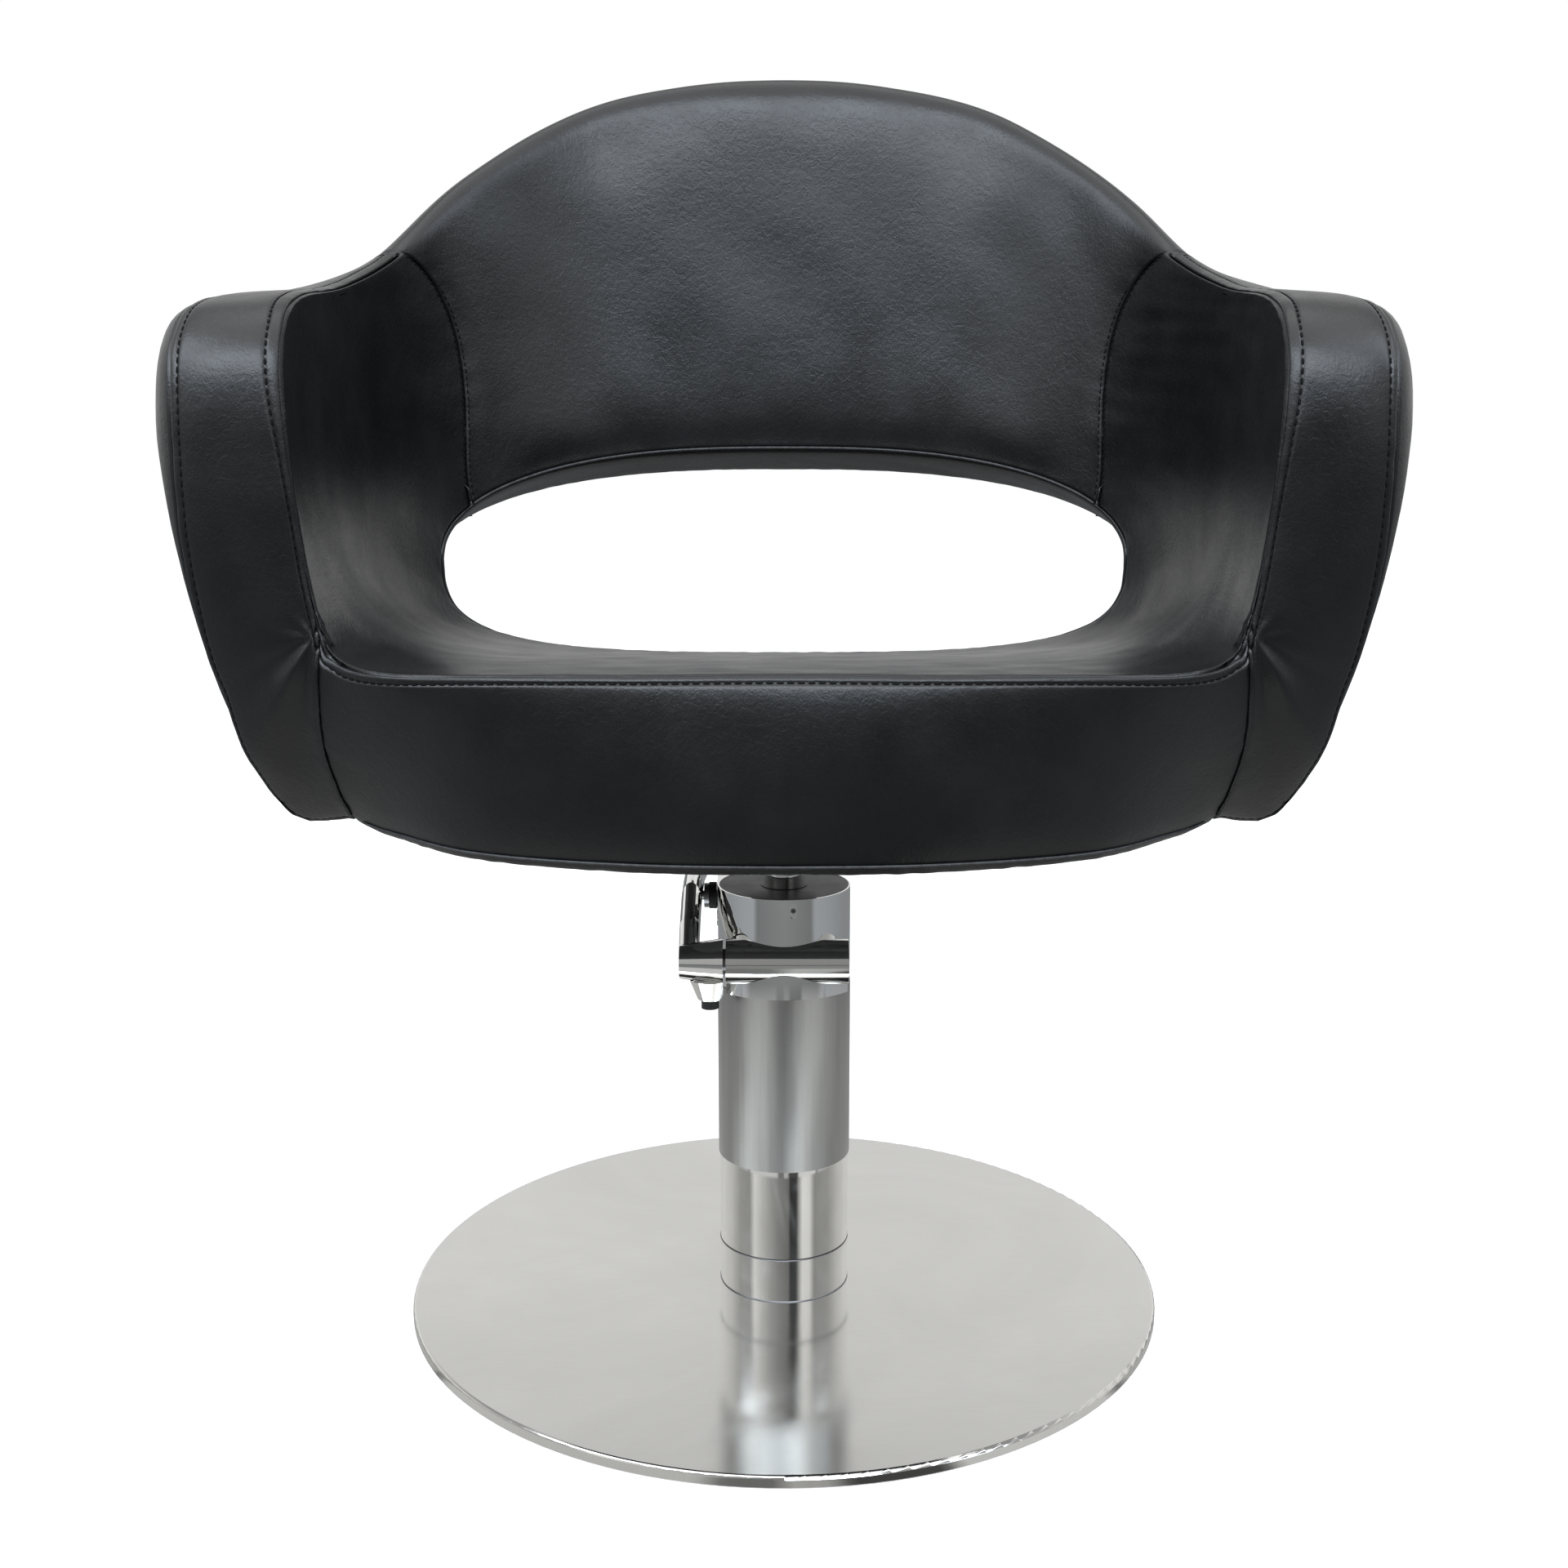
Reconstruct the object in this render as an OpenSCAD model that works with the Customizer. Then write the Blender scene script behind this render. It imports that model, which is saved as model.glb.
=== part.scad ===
// Hydraulic styling chair: a round floor base, a telescopic pump column with a foot pedal,
// and an upholstered tub seat with an oval opening in its back.
// The column axis is Z, the sitter faces -Y, and the floor is Z = 0.

/* [Base] */
// Diameter of the round base
base_d = 550; // [450:10:650]
// Thickness of the base, floor to top face
base_h = 8.5; // [7:0.5:16]
// Thickness of the rubber pad under the base
pad_h = 2; // [1:0.5:3]
// Number of bolts that hold the pump to the base
base_bolt_count = 4; // [3:1:8]

/* [Column] */
// Outer diameter of the polished lower tube
tube_d = 95; // [80:1:110]
// Height of the top of the collar round the column's foot
collar_top = 41; // [30:1:60]
// Height of the lower edge of the satin sleeve
sleeve_bottom = 109.5; // [80:0.5:160]
// Height of the lower edge of the pump head
head_bottom = 241; // [220:1:260]
// Height of the top of the pump head
head_top = 312; // [304:1:318]

/* [Ram and pedal] */
// Diameter of the piston rod
rod_d = 30; // [25:1:36]
// Travel of the seat, lowest to highest
lift_travel = 140; // [100:5:150]
// Diameter of the pedal shaft
shaft_d = 18; // [14:1:20]
// Distance from the column axis forward to the pedal shaft
barrel_y = -39; // [-42:1:-36]
// Height of the pedal shaft
barrel_z = 265; // [262:1:270]

/* [Upholstery] */
// Height of the front seam of the seat
seat_front_z = 500; // [480:5:520]
// Height of the underside of the seat
seat_bottom_z = 380; // [376:1:390]
// Number of facets along each half of the tub's edge
facets_round = 22; // [16:2:30]

/* [Hidden] */
fit = 0.05;      // radial clearance of a shaft in its bush
gap = 0.3;       // clearance between neighbouring loose pieces
wall = 2;        // wall of the column tubes
round_fn = 96;

tube_r = tube_d / 2;
rod_r = rod_d / 2;
shaft_r = shaft_d / 2;
head_r = tube_r + 0.5;
base_r = base_d / 2;
skirt = 1.5;                       // sheet thickness of the base cover
plate_top = base_h - skirt;
flange_top = 24;
bolt_circle = 33;
bolt_r = 5;
cylinder_r = 44;
ram_bore_r = 20;
piston_bottom = 66;
piston_h = 18;
socket_bottom = head_top + 12;
plate_bottom = 373.5;
plate_h = 6;
plate_side = 180;
bolt_pitch = 120;                  // square pattern of the seat plate bolts
board_bottom = seat_bottom_z + 13;
board_h = 13;
board_bolt_r = 4;
cap_recess = 0.5;
cap_h = 4;

screw_z = head_top - 8;
barrel_r = 16;
barrel_left = -41;
barrel_right = 45.5;
hub_left = -74;
hub_right = -43;
cam_reach = 15;
cam_drop = 11;
cam_tip_r = 3;
plunger_x = 20;
plunger_r = 6;
plunger_y = barrel_y + cam_reach;
plunger_top = barrel_z - cam_drop - cam_tip_r - gap;
plunger_len = 60;
plunger_stroke = 6.2;
arm_x = -67.5;
stop_y = 48;                       // axis of the stop screw through the lever
stop_z = 290.7;
clamp_x = -52.5;
tread_y = 262;
tread_z = 308;                     // top of the plate under the tread

// ---------------------------------------------------------------- tub surfaces
// The tub is a thick sheet bent round the sitter. Its free edge runs from the back's top
// centre (step 0), over the arm and round its front (steps 3 to 9), to the middle of the
// seat's front edge (step 15). Two loops bound that edge: the inner seam and the outer seam.
EDGE_STEPS = 15;
inner_edge = [
    [0, 264, 897], [-140, 250, 880], [-234, 194, 823], [-284, 122, 761], [-300, 10, 731],
    [-299, -120, 717], [-296, -175, 695], [-294, -193, 650], [-286, -191, 560],
    [-278, -192, 511], [-271, -198, 502], [-256, -210, 497], [-226, -228, 496],
    [-165, -243, 498], [-85, -250, 499], [0, -252, seat_front_z]
];
outer_edge = [
    [0, 299, 885], [-150, 284, 869], [-255, 222, 808], [-316, 138, 743], [-350, 10, 722],
    [-360, -120, 714], [-362, -172, 693], [-361, -191, 650], [-361, -187, 566],
    [-353.5, -168, 492], [-339, -140, 428], [-320, -104, seat_bottom_z + 3],
    [-258, -137, seat_bottom_z], [-190, -205, seat_bottom_z], [-95, -240, seat_bottom_z],
    [0, -247, seat_bottom_z]
];

// Bowl surfaces: a rounded box in plan, closed below, that leans back as it rises.
// [centre, half width, half depth, depth below centre, plan power, profile power,
//  lean, floor slope, taper towards the floor]
inner_bowl = [[0, 0, 630], 296, 238, 152, 2.7, 6, 0.10, 0.10, 0];
outer_bowl = [[0, -180, 660], 383, 468, 280, 2.5, 8, 0.06, 0, 0.16];

// Rim of the oval opening through the back:
// [half width, half height, centre height, depth at top, depth at sides, depth at bottom]
inner_oval = [260, 77.5, 536, 238, 135, 176];
outer_oval = [285, 78.5, 518.5, 285, 180, 233];

function mirror_x(p) = [-p[0], p[1], p[2]];

function curve_point(edge, u) =
    let (i = min(floor(u), EDGE_STEPS - 1), t = u - i,
         a = i == 0 ? mirror_x(edge[1]) : edge[i - 1],
         b = edge[i],
         c = edge[i + 1],
         d = i == EDGE_STEPS - 1 ? mirror_x(edge[i]) : edge[i + 2])
    0.5 * (2 * b + (c - a) * t + (2 * a - 5 * b + 4 * c - d) * t * t
        + (3 * b - a - 3 * c + d) * t * t * t);

function bowl_level(p, w) =
    let (d = p - w[0],
         k = 1 - w[8] * pow(max(640 - p[2], 0) / 255, 1.6),
         plan = pow(abs(d[0] / (w[1] * k)), w[4])
              + pow(max(d[1] - w[6] * max(d[2], 0), 0) / (w[2] * k), w[4]),
         low = abs(min(d[2] + w[7] * d[1], 0)) / w[3])
    pow(pow(plan, w[5] / w[4]) + pow(low, w[5]), 1 / w[5]);

function on_bowl(p, w, turns = 5) =
    turns == 0 ? p : on_bowl(w[0] + (p - w[0]) / bowl_level(p, w), w, turns - 1);

function power(value, n) = sign(value) * pow(abs(value), n);

// The oval is squarer below its sides than above them.
function oval_point(u, oval) =
    let (angle = 90 - 180 * (1 - pow(1 - u / EDGE_STEPS, 1.4)),
         rise = sin(angle),
         square = rise > 0 ? [0.77, 0.83] : [0.62, 0.62])
    [-oval[0] * pow(abs(cos(angle)), square[0]),
        oval[4] + (oval[3] - oval[4]) * pow(max(rise, 0), 1.3)
            + (oval[5] - oval[4]) * pow(max(-rise, 0), 2),
        oval[2] + oval[1] * power(rise, square[1])];

// A point on one face of the tub, at step u of the edge and share s of the way to the opening.
// The face leaves the edge curve for the bowl at a rate set by settle.
function face_point(u, s, edge, oval, bowl, settle) =
    let (a = curve_point(edge, u), b = oval_point(u, oval), p = a + (b - a) * s)
    on_bowl(p, bowl) - (on_bowl(a, bowl) - a) * pow(1 - s, settle)
        - (on_bowl(b, bowl) - b) * pow(s, 4);

function unit(v) = v / max(norm(v), 0.001);

// Outward direction and height of the crown of the padded edge.
function crown(u) =
    let (lo = max(u - 0.02, 0), hi = min(u + 0.02, EDGE_STEPS),
         along = curve_point(inner_edge, hi) - curve_point(inner_edge, lo)
               + curve_point(outer_edge, hi) - curve_point(outer_edge, lo),
         across = curve_point(outer_edge, u) - curve_point(inner_edge, u))
    unit(cross(across, along)) * (7 + 8 * pow(abs(2 * u / EDGE_STEPS - 1), 2.5)
        + 5 * exp(-pow(u / 1.3, 2)) - 4.5 * exp(-pow((u - 4.7) / 1.2, 2)));

// Point inside the tub's thickness: r runs from the sitter's side (0) to the outside (1).
function half_point(u, s, r) =
    let (a = face_point(u, s, inner_edge, inner_oval, inner_bowl, 4),
         b = face_point(u, s, outer_edge, outer_oval, outer_bowl, 24),
         swell = sqrt(max(0, 1 - pow(abs(2 * r - 1), 2.6))) * pow(max(0, 1 - s / 0.12), 2))
    a + (b - a) * r + crown(u) * swell;

function tub_point(u, s, r) =
    u < 0 ? mirror_x(half_point(-u, s, r))
    : u > EDGE_STEPS ? mirror_x(half_point(2 * EDGE_STEPS - u, s, r))
    : half_point(u, s, r);

// Solid block of the tub between u, s and r limits. skew shifts the u limits at the opening,
// and a looped block closes on itself all round the tub.
module tub_block(u, s, r, cells, skew = [0, 0], looped = false) {
    nu = cells[0];
    ns = cells[1];
    nr = cells[2];
    function id(i, j, k) = ((looped ? i % nu : i) * (ns + 1) + j) * (nr + 1) + k;
    points = [
        for (i = [0:looped ? nu - 1 : nu], j = [0:ns], k = [0:nr])
            let (sv = s[0] + (s[1] - s[0]) * j / ns,
                 lo = u[0] + skew[0] * sv,
                 hi = u[1] + skew[1] * sv)
            tub_point(lo + (hi - lo) * i / nu, sv, r[0] + (r[1] - r[0]) * k / nr)
    ];
    function pair(a, b, c, d) = [[a, b, c], [a, c, d]];
    faces = [
        for (i = [0:nu - 1], j = [0:ns - 1])
            each concat(
                pair(id(i, j, nr), id(i, j + 1, nr), id(i + 1, j + 1, nr), id(i + 1, j, nr)),
                pair(id(i, j, 0), id(i + 1, j, 0), id(i + 1, j + 1, 0), id(i, j + 1, 0))),
        for (i = [0:nu - 1], k = [0:nr - 1])
            each concat(
                pair(id(i, 0, k), id(i, 0, k + 1), id(i + 1, 0, k + 1), id(i + 1, 0, k)),
                pair(id(i, ns, k), id(i + 1, ns, k), id(i + 1, ns, k + 1), id(i, ns, k + 1))),
        if (!looped) for (j = [0:ns - 1], k = [0:nr - 1])
            each concat(
                pair(id(0, j, k), id(0, j + 1, k), id(0, j + 1, k + 1), id(0, j, k + 1)),
                pair(id(nu, j, k), id(nu, j, k + 1), id(nu, j + 1, k + 1), id(nu, j + 1, k)))
    ];
    polyhedron(points = points, faces = faces, convexity = 6);
}

module both_sides() {
    children();
    mirror([1, 0, 0]) children();
}

module ring(outer_r, inner_r, bottom, top) {
    translate([0, 0, bottom]) difference() {
        cylinder(r = outer_r, h = top - bottom, $fn = round_fn);
        translate([0, 0, -1]) cylinder(r = inner_r, h = top - bottom + 2, $fn = round_fn);
    }
}

module across_x(r, from_x, to_x, y, z) {
    translate([from_x, y, z]) rotate([0, 90, 0])
        cylinder(r = r, h = to_x - from_x, $fn = round_fn);
}

module bolt_ring(count, circle_r) {
    for (i = [0:count - 1])
        rotate([0, 0, 45 + 360 * i / count]) translate([circle_r, 0, 0]) children();
}

// ---------------------------------------------------------------- base and column
module floor_pad() {
    color("#202020") cylinder(r = base_r - 13, h = pad_h, $fn = round_fn);
}

module base_plate() {
    color("#5a5d60") difference() {
        translate([0, 0, pad_h])
            cylinder(r = base_r - skirt - 1, h = plate_top - pad_h, $fn = round_fn);
        bolt_ring(base_bolt_count, bolt_circle) {
            translate([0, 0, pad_h - 1]) cylinder(r = bolt_r + 0.5, h = base_h, $fn = 32);
            translate([0, 0, pad_h - 0.01]) cylinder(r = bolt_r + 4, h = 3.2, $fn = 32);
        }
    }
}

module base_cover() {
    lip = 2.4;
    color("#c9cacb") rotate_extrude($fn = 180) difference() {
        union() {
            square([base_r - lip, base_h]);
            translate([0, 1]) square([base_r, base_h - lip - 1]);
            translate([base_r - lip, base_h - lip]) circle(r = lip, $fn = 32);
        }
        translate([-1, -1]) square([base_r - skirt - 1 + 1, plate_top + 1]);
        translate([-1, 0]) square([flange_hole() + 1, base_h + 1]);
    }
}

function flange_hole() = cylinder_r - 1;

module base_bolts() {
    color("#3c3c3e") bolt_ring(base_bolt_count, bolt_circle)
        translate([0, 0, pad_h + 0.1]) {
            cylinder(r = bolt_r + 3.5, h = 3, $fn = 32);
            cylinder(r = bolt_r, h = flange_top - 6, $fn = 32);
        }
}

module pump_flange() {
    color("#4a4c4f") difference() {
        union() {
            translate([0, 0, plate_top]) cylinder(r = flange_hole() - gap, h = 5, $fn = round_fn);
            translate([0, 0, base_h + gap])
                cylinder(r = tube_r - wall - 1.2, h = flange_top - base_h - gap, $fn = round_fn);
        }
        bolt_ring(base_bolt_count, bolt_circle)
            cylinder(r = bolt_r + 0.1, h = flange_top - 3, $fn = 32);
    }
}

module column_collar() {
    color("#d4d5d6") ring(tube_r, tube_r - 3, base_h, collar_top);
}

module lower_tube() {
    color("#d8d9da") ring(tube_r, tube_r - wall, collar_top + 1, head_bottom - 1);
}

module upper_sleeve() {
    color("#8e9091") ring(tube_r + 0.9, tube_r + 0.05, sleeve_bottom, head_bottom - 0.4);
}

module pump_cylinder() {
    color("#6e7174") difference() {
        translate([0, 0, flange_top]) cylinder(r = cylinder_r, h = head_bottom - flange_top - 1,
            $fn = round_fn);
        translate([0, 0, piston_bottom - 8]) cylinder(r = ram_bore_r, h = head_bottom,
            $fn = round_fn);
        translate([plunger_x, plunger_y, plunger_top - plunger_len - plunger_stroke - 2])
            cylinder(r = plunger_r + fit, h = 100, $fn = 48);
        translate([plunger_x, plunger_y, plunger_top - 38])
            cylinder(r = plunger_r + 3.6, h = 100, $fn = 48);
    }
}

module pump_head() {
    lug_y = 34;
    skirt_front = 54;   // front of the curved skirt under the barrel
    skirt_r = 60;
    color("#dcdddd") difference() {
        union() {
            translate([0, 0, head_bottom])
                cylinder(r = head_r, h = head_top - head_bottom, $fn = round_fn);
            across_x(barrel_r, barrel_left, barrel_right, barrel_y, barrel_z);
            intersection() {
                translate([barrel_left, -skirt_front, head_bottom])
                    cube([barrel_right - barrel_left, 28, barrel_z - head_bottom]);
                translate([0, skirt_r - skirt_front, head_bottom])
                    cylinder(r = skirt_r, h = 40, $fn = 180);
            }
            translate([-50, lug_y, barrel_z + 6]) cube([22, 38, 32]);
        }
        translate([0, 0, head_bottom - 1])
            cylinder(r = ram_bore_r + 0.1, h = 100, $fn = round_fn);
        translate([0, 0, head_top - cap_recess - cap_h])
            cylinder(r = head_r - 1.2, h = 20, $fn = round_fn);
        across_x(shaft_r + 3, barrel_left - 1, barrel_right + 1, barrel_y, barrel_z);
        across_x(14, plunger_x - 11, plunger_x + 11, barrel_y, barrel_z);
        translate([plunger_x - 11, barrel_y - 3, head_bottom + 2])
            cube([22, -17.3 - barrel_y, 30]);
        translate([plunger_x, plunger_y, head_bottom - 1])
            cylinder(r = plunger_r + 3.6, h = 20, $fn = 48);
        for (z = [-3, 3]) translate([6.5, -head_r - 1, screw_z + z]) rotate([-90, 0, 0])
            cylinder(r = 2.4, h = 2.4, $fn = 32);
        translate([6.5 - 2.4, -head_r - 1, screw_z - 3]) cube([4.8, 2.4, 6]);
        translate([6.5, -head_r - 1, screw_z]) rotate([-90, 0, 0])
            cylinder(r = 1.9, h = 9, $fn = 32);
    }
}

module head_cap() {
    base_z = head_top - cap_recess - cap_h;
    color("#151515") difference() {
        union() {
            translate([0, 0, base_z]) cylinder(r = head_r - 1.3, h = cap_h, $fn = round_fn);
            translate([0, 0, base_z]) cylinder(r = rod_r + 1.8, h = cap_h + 0.4, $fn = round_fn);
        }
        translate([0, 0, base_z - 1]) cylinder(r = rod_r + fit, h = 20, $fn = round_fn);
    }
}

module head_set_screw() {
    color("#55585a") translate([6.5, -head_r + 1.6, screw_z]) rotate([-90, 0, 0])
        difference() {
            cylinder(r = 1.85, h = 5, $fn = 32);
            translate([0, 0, -1]) cylinder(r = 0.9, h = 2.5, $fn = 6);
        }
}

module guide_bush() {
    color("#a5854a") ring(ram_bore_r, rod_r + fit, head_bottom + 4, head_top - 20);
}

module rod_seal() {
    color("#1c1c1c") ring(ram_bore_r, rod_r + fit, head_top - 19.5, head_top - cap_recess - cap_h);
}

module barrel_bushes() {
    color("#a5854a") for (x = [[barrel_left, 8.5], [31.5, 41]]) difference() {
        across_x(shaft_r + 3, x[0], x[1], barrel_y, barrel_z);
        across_x(shaft_r + fit, x[0] - 1, x[1] + 1, barrel_y, barrel_z);
    }
}

module barrel_plug() {
    color("#d0d1d2") across_x(shaft_r + 3, barrel_right - 4, barrel_right - 0.5, barrel_y,
        barrel_z);
}

// ---------------------------------------------------------------- pump and ram
module plunger() {
    color("#b9bbbd") translate([plunger_x, plunger_y, plunger_top - plunger_len]) {
        cylinder(r = plunger_r, h = plunger_len, $fn = 48);
        translate([0, 0, plunger_len - 3]) cylinder(r = plunger_r + 2.4, h = 3, $fn = 48);
    }
}

module plunger_spring() {
    wire_r = 0.9;
    coil_r = plunger_r + 1.3;
    turns = 7;
    steps = 14 * turns;
    sides = 6;
    low = plunger_top - 37;
    high = plunger_top - 4.5;
    points = [
        for (i = [0:steps], j = [0:sides - 1])
            let (a = 360 * turns * i / steps, b = 360 * j / sides,
                 z = low + wire_r + (high - low - wire_r) * i / steps,
                 r = coil_r + wire_r * cos(b))
            [plunger_x + r * cos(a), plunger_y + r * sin(a), z + wire_r * sin(b)]
    ];
    faces = concat(
        [[for (j = [0:sides - 1]) j]],
        [for (i = [0:steps - 1], j = [0:sides - 1])
            let (n = (j + 1) % sides)
            [i * sides + j, (i + 1) * sides + j, (i + 1) * sides + n, i * sides + n]],
        [[for (j = [sides - 1:-1:0]) steps * sides + j]]);
    color("#9a9c9e") polyhedron(points = points, faces = faces, convexity = 8);
}

module piston() {
    color("#8a7a52") ring(ram_bore_r - fit, rod_r - 5, piston_bottom, piston_bottom + piston_h);
}

module piston_rod() {
    color("#d5d6d8") {
        translate([0, 0, piston_bottom - 1]) cylinder(r = rod_r - 5 - fit, h = piston_h + 2,
            $fn = round_fn);
        translate([0, 0, piston_bottom + piston_h + gap])
            cylinder(r = rod_r, h = socket_top() - piston_bottom - piston_h - gap - 8,
                $fn = round_fn);
    }
}

function socket_top() = plate_bottom;

// ---------------------------------------------------------------- pedal
module pedal_shaft() {
    color("#85878a") across_x(shaft_r, hub_left + 6, barrel_right - 5, barrel_y, barrel_z);
}

module pump_cam() {
    half = 9;
    color("#707376") difference() {
        union() {
            across_x(shaft_r + 3.5, plunger_x - half, plunger_x + half, barrel_y, barrel_z);
            across_x(cam_tip_r, plunger_x - half, plunger_x + half, plunger_y,
                barrel_z - cam_drop);
            translate([plunger_x - half, barrel_y, barrel_z - cam_drop - 2.5])
                cube([2 * half, cam_reach, 9]);
        }
        across_x(shaft_r + 0.02, plunger_x - 10, plunger_x + 10, barrel_y, barrel_z);
    }
}

// The lever's spine, from behind the hub to the tread: [y, z, half height, half width, x].
lever_spine = [
    [barrel_y, barrel_z, 11, 7.2, arm_x], [-20, 281, 14, 7.5, arm_x], [8, 296, 15, 7.5, arm_x],
    [40, 300, 15, 7.5, arm_x], [75, 301, 14, 7.5, arm_x], [130, 302, 9.5, 7.5, arm_x + 5],
    [200, 301, 6, 7, arm_x + 24], [250, 301, 5.5, 9, arm_x + 50]
];

module lever_section(n) {
    v = lever_spine[n];
    translate([v[4], v[0], v[1]]) rotate([90, 0, 0]) scale([v[3] / 10, v[2] / 10, 1])
        cylinder(r = 10, h = 1, center = true, $fn = 24);
}

module pedal_lever() {
    color("#d3d4d6") difference() {
        union() {
            translate([hub_left, barrel_y, barrel_z]) rotate([0, 90, 0])
                cylinder(r1 = 12, r2 = 16.5, h = hub_right - hub_left, $fn = round_fn);
            for (n = [0:len(lever_spine) - 2]) hull() {
                lever_section(n);
                lever_section(n + 1);
            }
            intersection() {
                translate([clamp_x, barrel_y, barrel_z - 27])
                    cylinder(r1 = 9, r2 = 15, h = 15, $fn = 48);
                translate([hub_left, barrel_y - 20, barrel_z - 27])
                    cube([hub_right - hub_left, 40, 27]);
            }
            translate([-42, tread_y - 20, tread_z - 5]) cube([84, 52, 5]);
        }
        across_x(shaft_r + 0.02, hub_left + 5, hub_right + 1, barrel_y, barrel_z);
        translate([clamp_x, barrel_y, barrel_z - 40]) cylinder(r = 4, h = 34, $fn = 32);
        across_x(3.5, -72, -50, stop_y, stop_z);
    }
}

module clamp_screw() {
    color("#222222") translate([clamp_x, barrel_y, barrel_z - 34]) {
        cylinder(r = 3.95, h = 34 - shaft_r - 0.5, $fn = 32);
        cylinder(r = 6.3, h = 6.5, $fn = 32);
    }
}

module stop_screw() {
    color("#8c8e90") {
        across_x(3.45, -71.5, -53, stop_y, stop_z);
        across_x(9.2, -59.7, -56.1, stop_y, stop_z);
    }
}

module stop_bumper() {
    color("#1a1a1a") difference() {
        across_x(10, -55.9, -50.5, stop_y, stop_z);
        across_x(3.5, -57, -52.9, stop_y, stop_z);
    }
}

module pedal_tread() {
    color("#1d1d1d") {
        translate([-45, tread_y - 22, tread_z + 0.1]) cube([90, 56, 4]);
        for (i = [0:5]) translate([-41, tread_y - 18 + 9 * i, tread_z + 3.6]) cube([82, 4, 2.4]);
    }
}

// ---------------------------------------------------------------- seat structure
module at_plate_bolts() {
    for (x = [-1, 1], y = [-1, 1])
        translate([x * bolt_pitch / 2, y * bolt_pitch / 2, 0]) children();
}

module seat_plate() {
    color("#3a3b3d") difference() {
        union() {
            translate([-plate_side / 2, -plate_side / 2, plate_bottom])
                cube([plate_side, plate_side, plate_h]);
            translate([0, 0, socket_bottom]) cylinder(r = rod_r + 9,
                h = plate_bottom - socket_bottom + 1, $fn = round_fn);
            for (a = [0:90:270]) rotate([0, 0, 45 + a])
                translate([rod_r + 5, -2.5, plate_bottom - 24]) rotate([90, 0, 0]) mirror([0, 0, 1])
                    linear_extrude(5) polygon([[0, 0], [0, 25], [58, 25]]);
        }
        translate([0, 0, socket_bottom - 1])
            cylinder(r = rod_r + 0.02, h = socket_top() - socket_bottom - 7, $fn = round_fn);
        at_plate_bolts() translate([0, 0, plate_bottom - 1])
            cylinder(r = board_bolt_r + 0.4, h = plate_h + 2, $fn = 32);
    }
}

module plate_bolts() {
    color("#2a2a2c") at_plate_bolts() {
        translate([0, 0, plate_bottom - 5.1]) cylinder(r = 6.5, h = 5, $fn = 6);
        translate([0, 0, plate_bottom - 1]) cylinder(r = board_bolt_r, h = 24, $fn = 32);
    }
}

module t_nuts() {
    color("#9fa1a3") at_plate_bolts() difference() {
        union() {
            translate([0, 0, board_bottom + 6]) cylinder(r = 5.6, h = board_h - 5, $fn = 32);
            translate([0, 0, board_bottom + board_h + 0.1]) cylinder(r = 11, h = 1.4, $fn = 48);
        }
        translate([0, 0, board_bottom]) cylinder(r = board_bolt_r + 0.05, h = 40, $fn = 32);
    }
}

board_outline = [[-195, -115], [-150, -165], [-60, -192], [60, -192], [150, -165],
    [195, -115], [195, 30], [150, 85], [70, 108], [-70, 108], [-150, 85], [-195, 30]];

module seat_board() {
    color("#c9a877") difference() {
        translate([0, 0, board_bottom]) linear_extrude(board_h) polygon(board_outline);
        at_plate_bolts() translate([0, 0, board_bottom - 1])
            cylinder(r = 5.7, h = board_h + 2, $fn = 32);
    }
}

// ---------------------------------------------------------------- upholstery
rim = 0.055;            // depth of the padded edge, as a share of the way to the opening
liner_start = 0.955;    // where the opening's lining begins
pad_to = 0.32;          // layers where the padding ends,
frame_from = 0.37;      // where the frame starts,
frame_to = 0.80;        // where it ends
cover_from = 0.85;      // and where the outer covers start
leaf = 0.012;           // layer gap between neighbours
panel_u = 3.35;         // edge step of the seam between back and arm panels
panel_skew = 0.75;      // how far that seam moves along by the opening
corner_u = 9.4;         // edge step of the seat's front corner
leather = "#2b2b2d";

module back_pad() {
    color(leather) tub_block([-panel_u, panel_u], [rim + leaf, liner_start - leaf],
        [0, pad_to], [24, 8, 1], [-panel_skew, panel_skew]);
}

module arm_pad() {
    color(leather) tub_block([panel_u + 0.1, 9.3], [rim + leaf, liner_start - leaf],
        [0, pad_to], [18, 8, 1], [panel_skew, 0]);
}

module arm_pad_left() mirror([1, 0, 0]) arm_pad();
module arm_pad_right() arm_pad();

module seat_pad() {
    side = EDGE_STEPS - 9.45;
    color(leather) tub_block([EDGE_STEPS - side, EDGE_STEPS + side],
        [rim + leaf, liner_start - leaf], [0, 0.66], [22, 8, 2]);
}

module arm_band() {
    color(leather) tub_block([3.25, corner_u + 0.5], [0, rim], [0, 1], [facets_round, 1, 6]);
}

module arm_band_left() mirror([1, 0, 0]) arm_band();
module arm_band_right() arm_band();

module front_pad() {
    side = EDGE_STEPS - corner_u - 0.55;
    color(leather) tub_block([EDGE_STEPS - side, EDGE_STEPS + side], [0, rim], [0, 0.97],
        [24, 1, 6]);
}

module front_piping() {
    side = EDGE_STEPS - corner_u - 2.2;
    color("#101010") tub_block([EDGE_STEPS - side, EDGE_STEPS + side], [0.004, 0.02],
        [0.986, 1], [20, 1, 1]);
}

module back_roll() {
    color(leather) tub_block([-3.2, 3.2], [0, rim], [0, 1], [20, 1, 6]);
}

module side_frame() {
    color("#9a7f57") tub_block([panel_u + 0.1, 9.3], [rim + leaf, liner_start - leaf],
        [frame_from, frame_to], [18, 8, 1], [panel_skew, 0]);
}

module side_frame_left() mirror([1, 0, 0]) side_frame();
module side_frame_right() side_frame();

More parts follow.
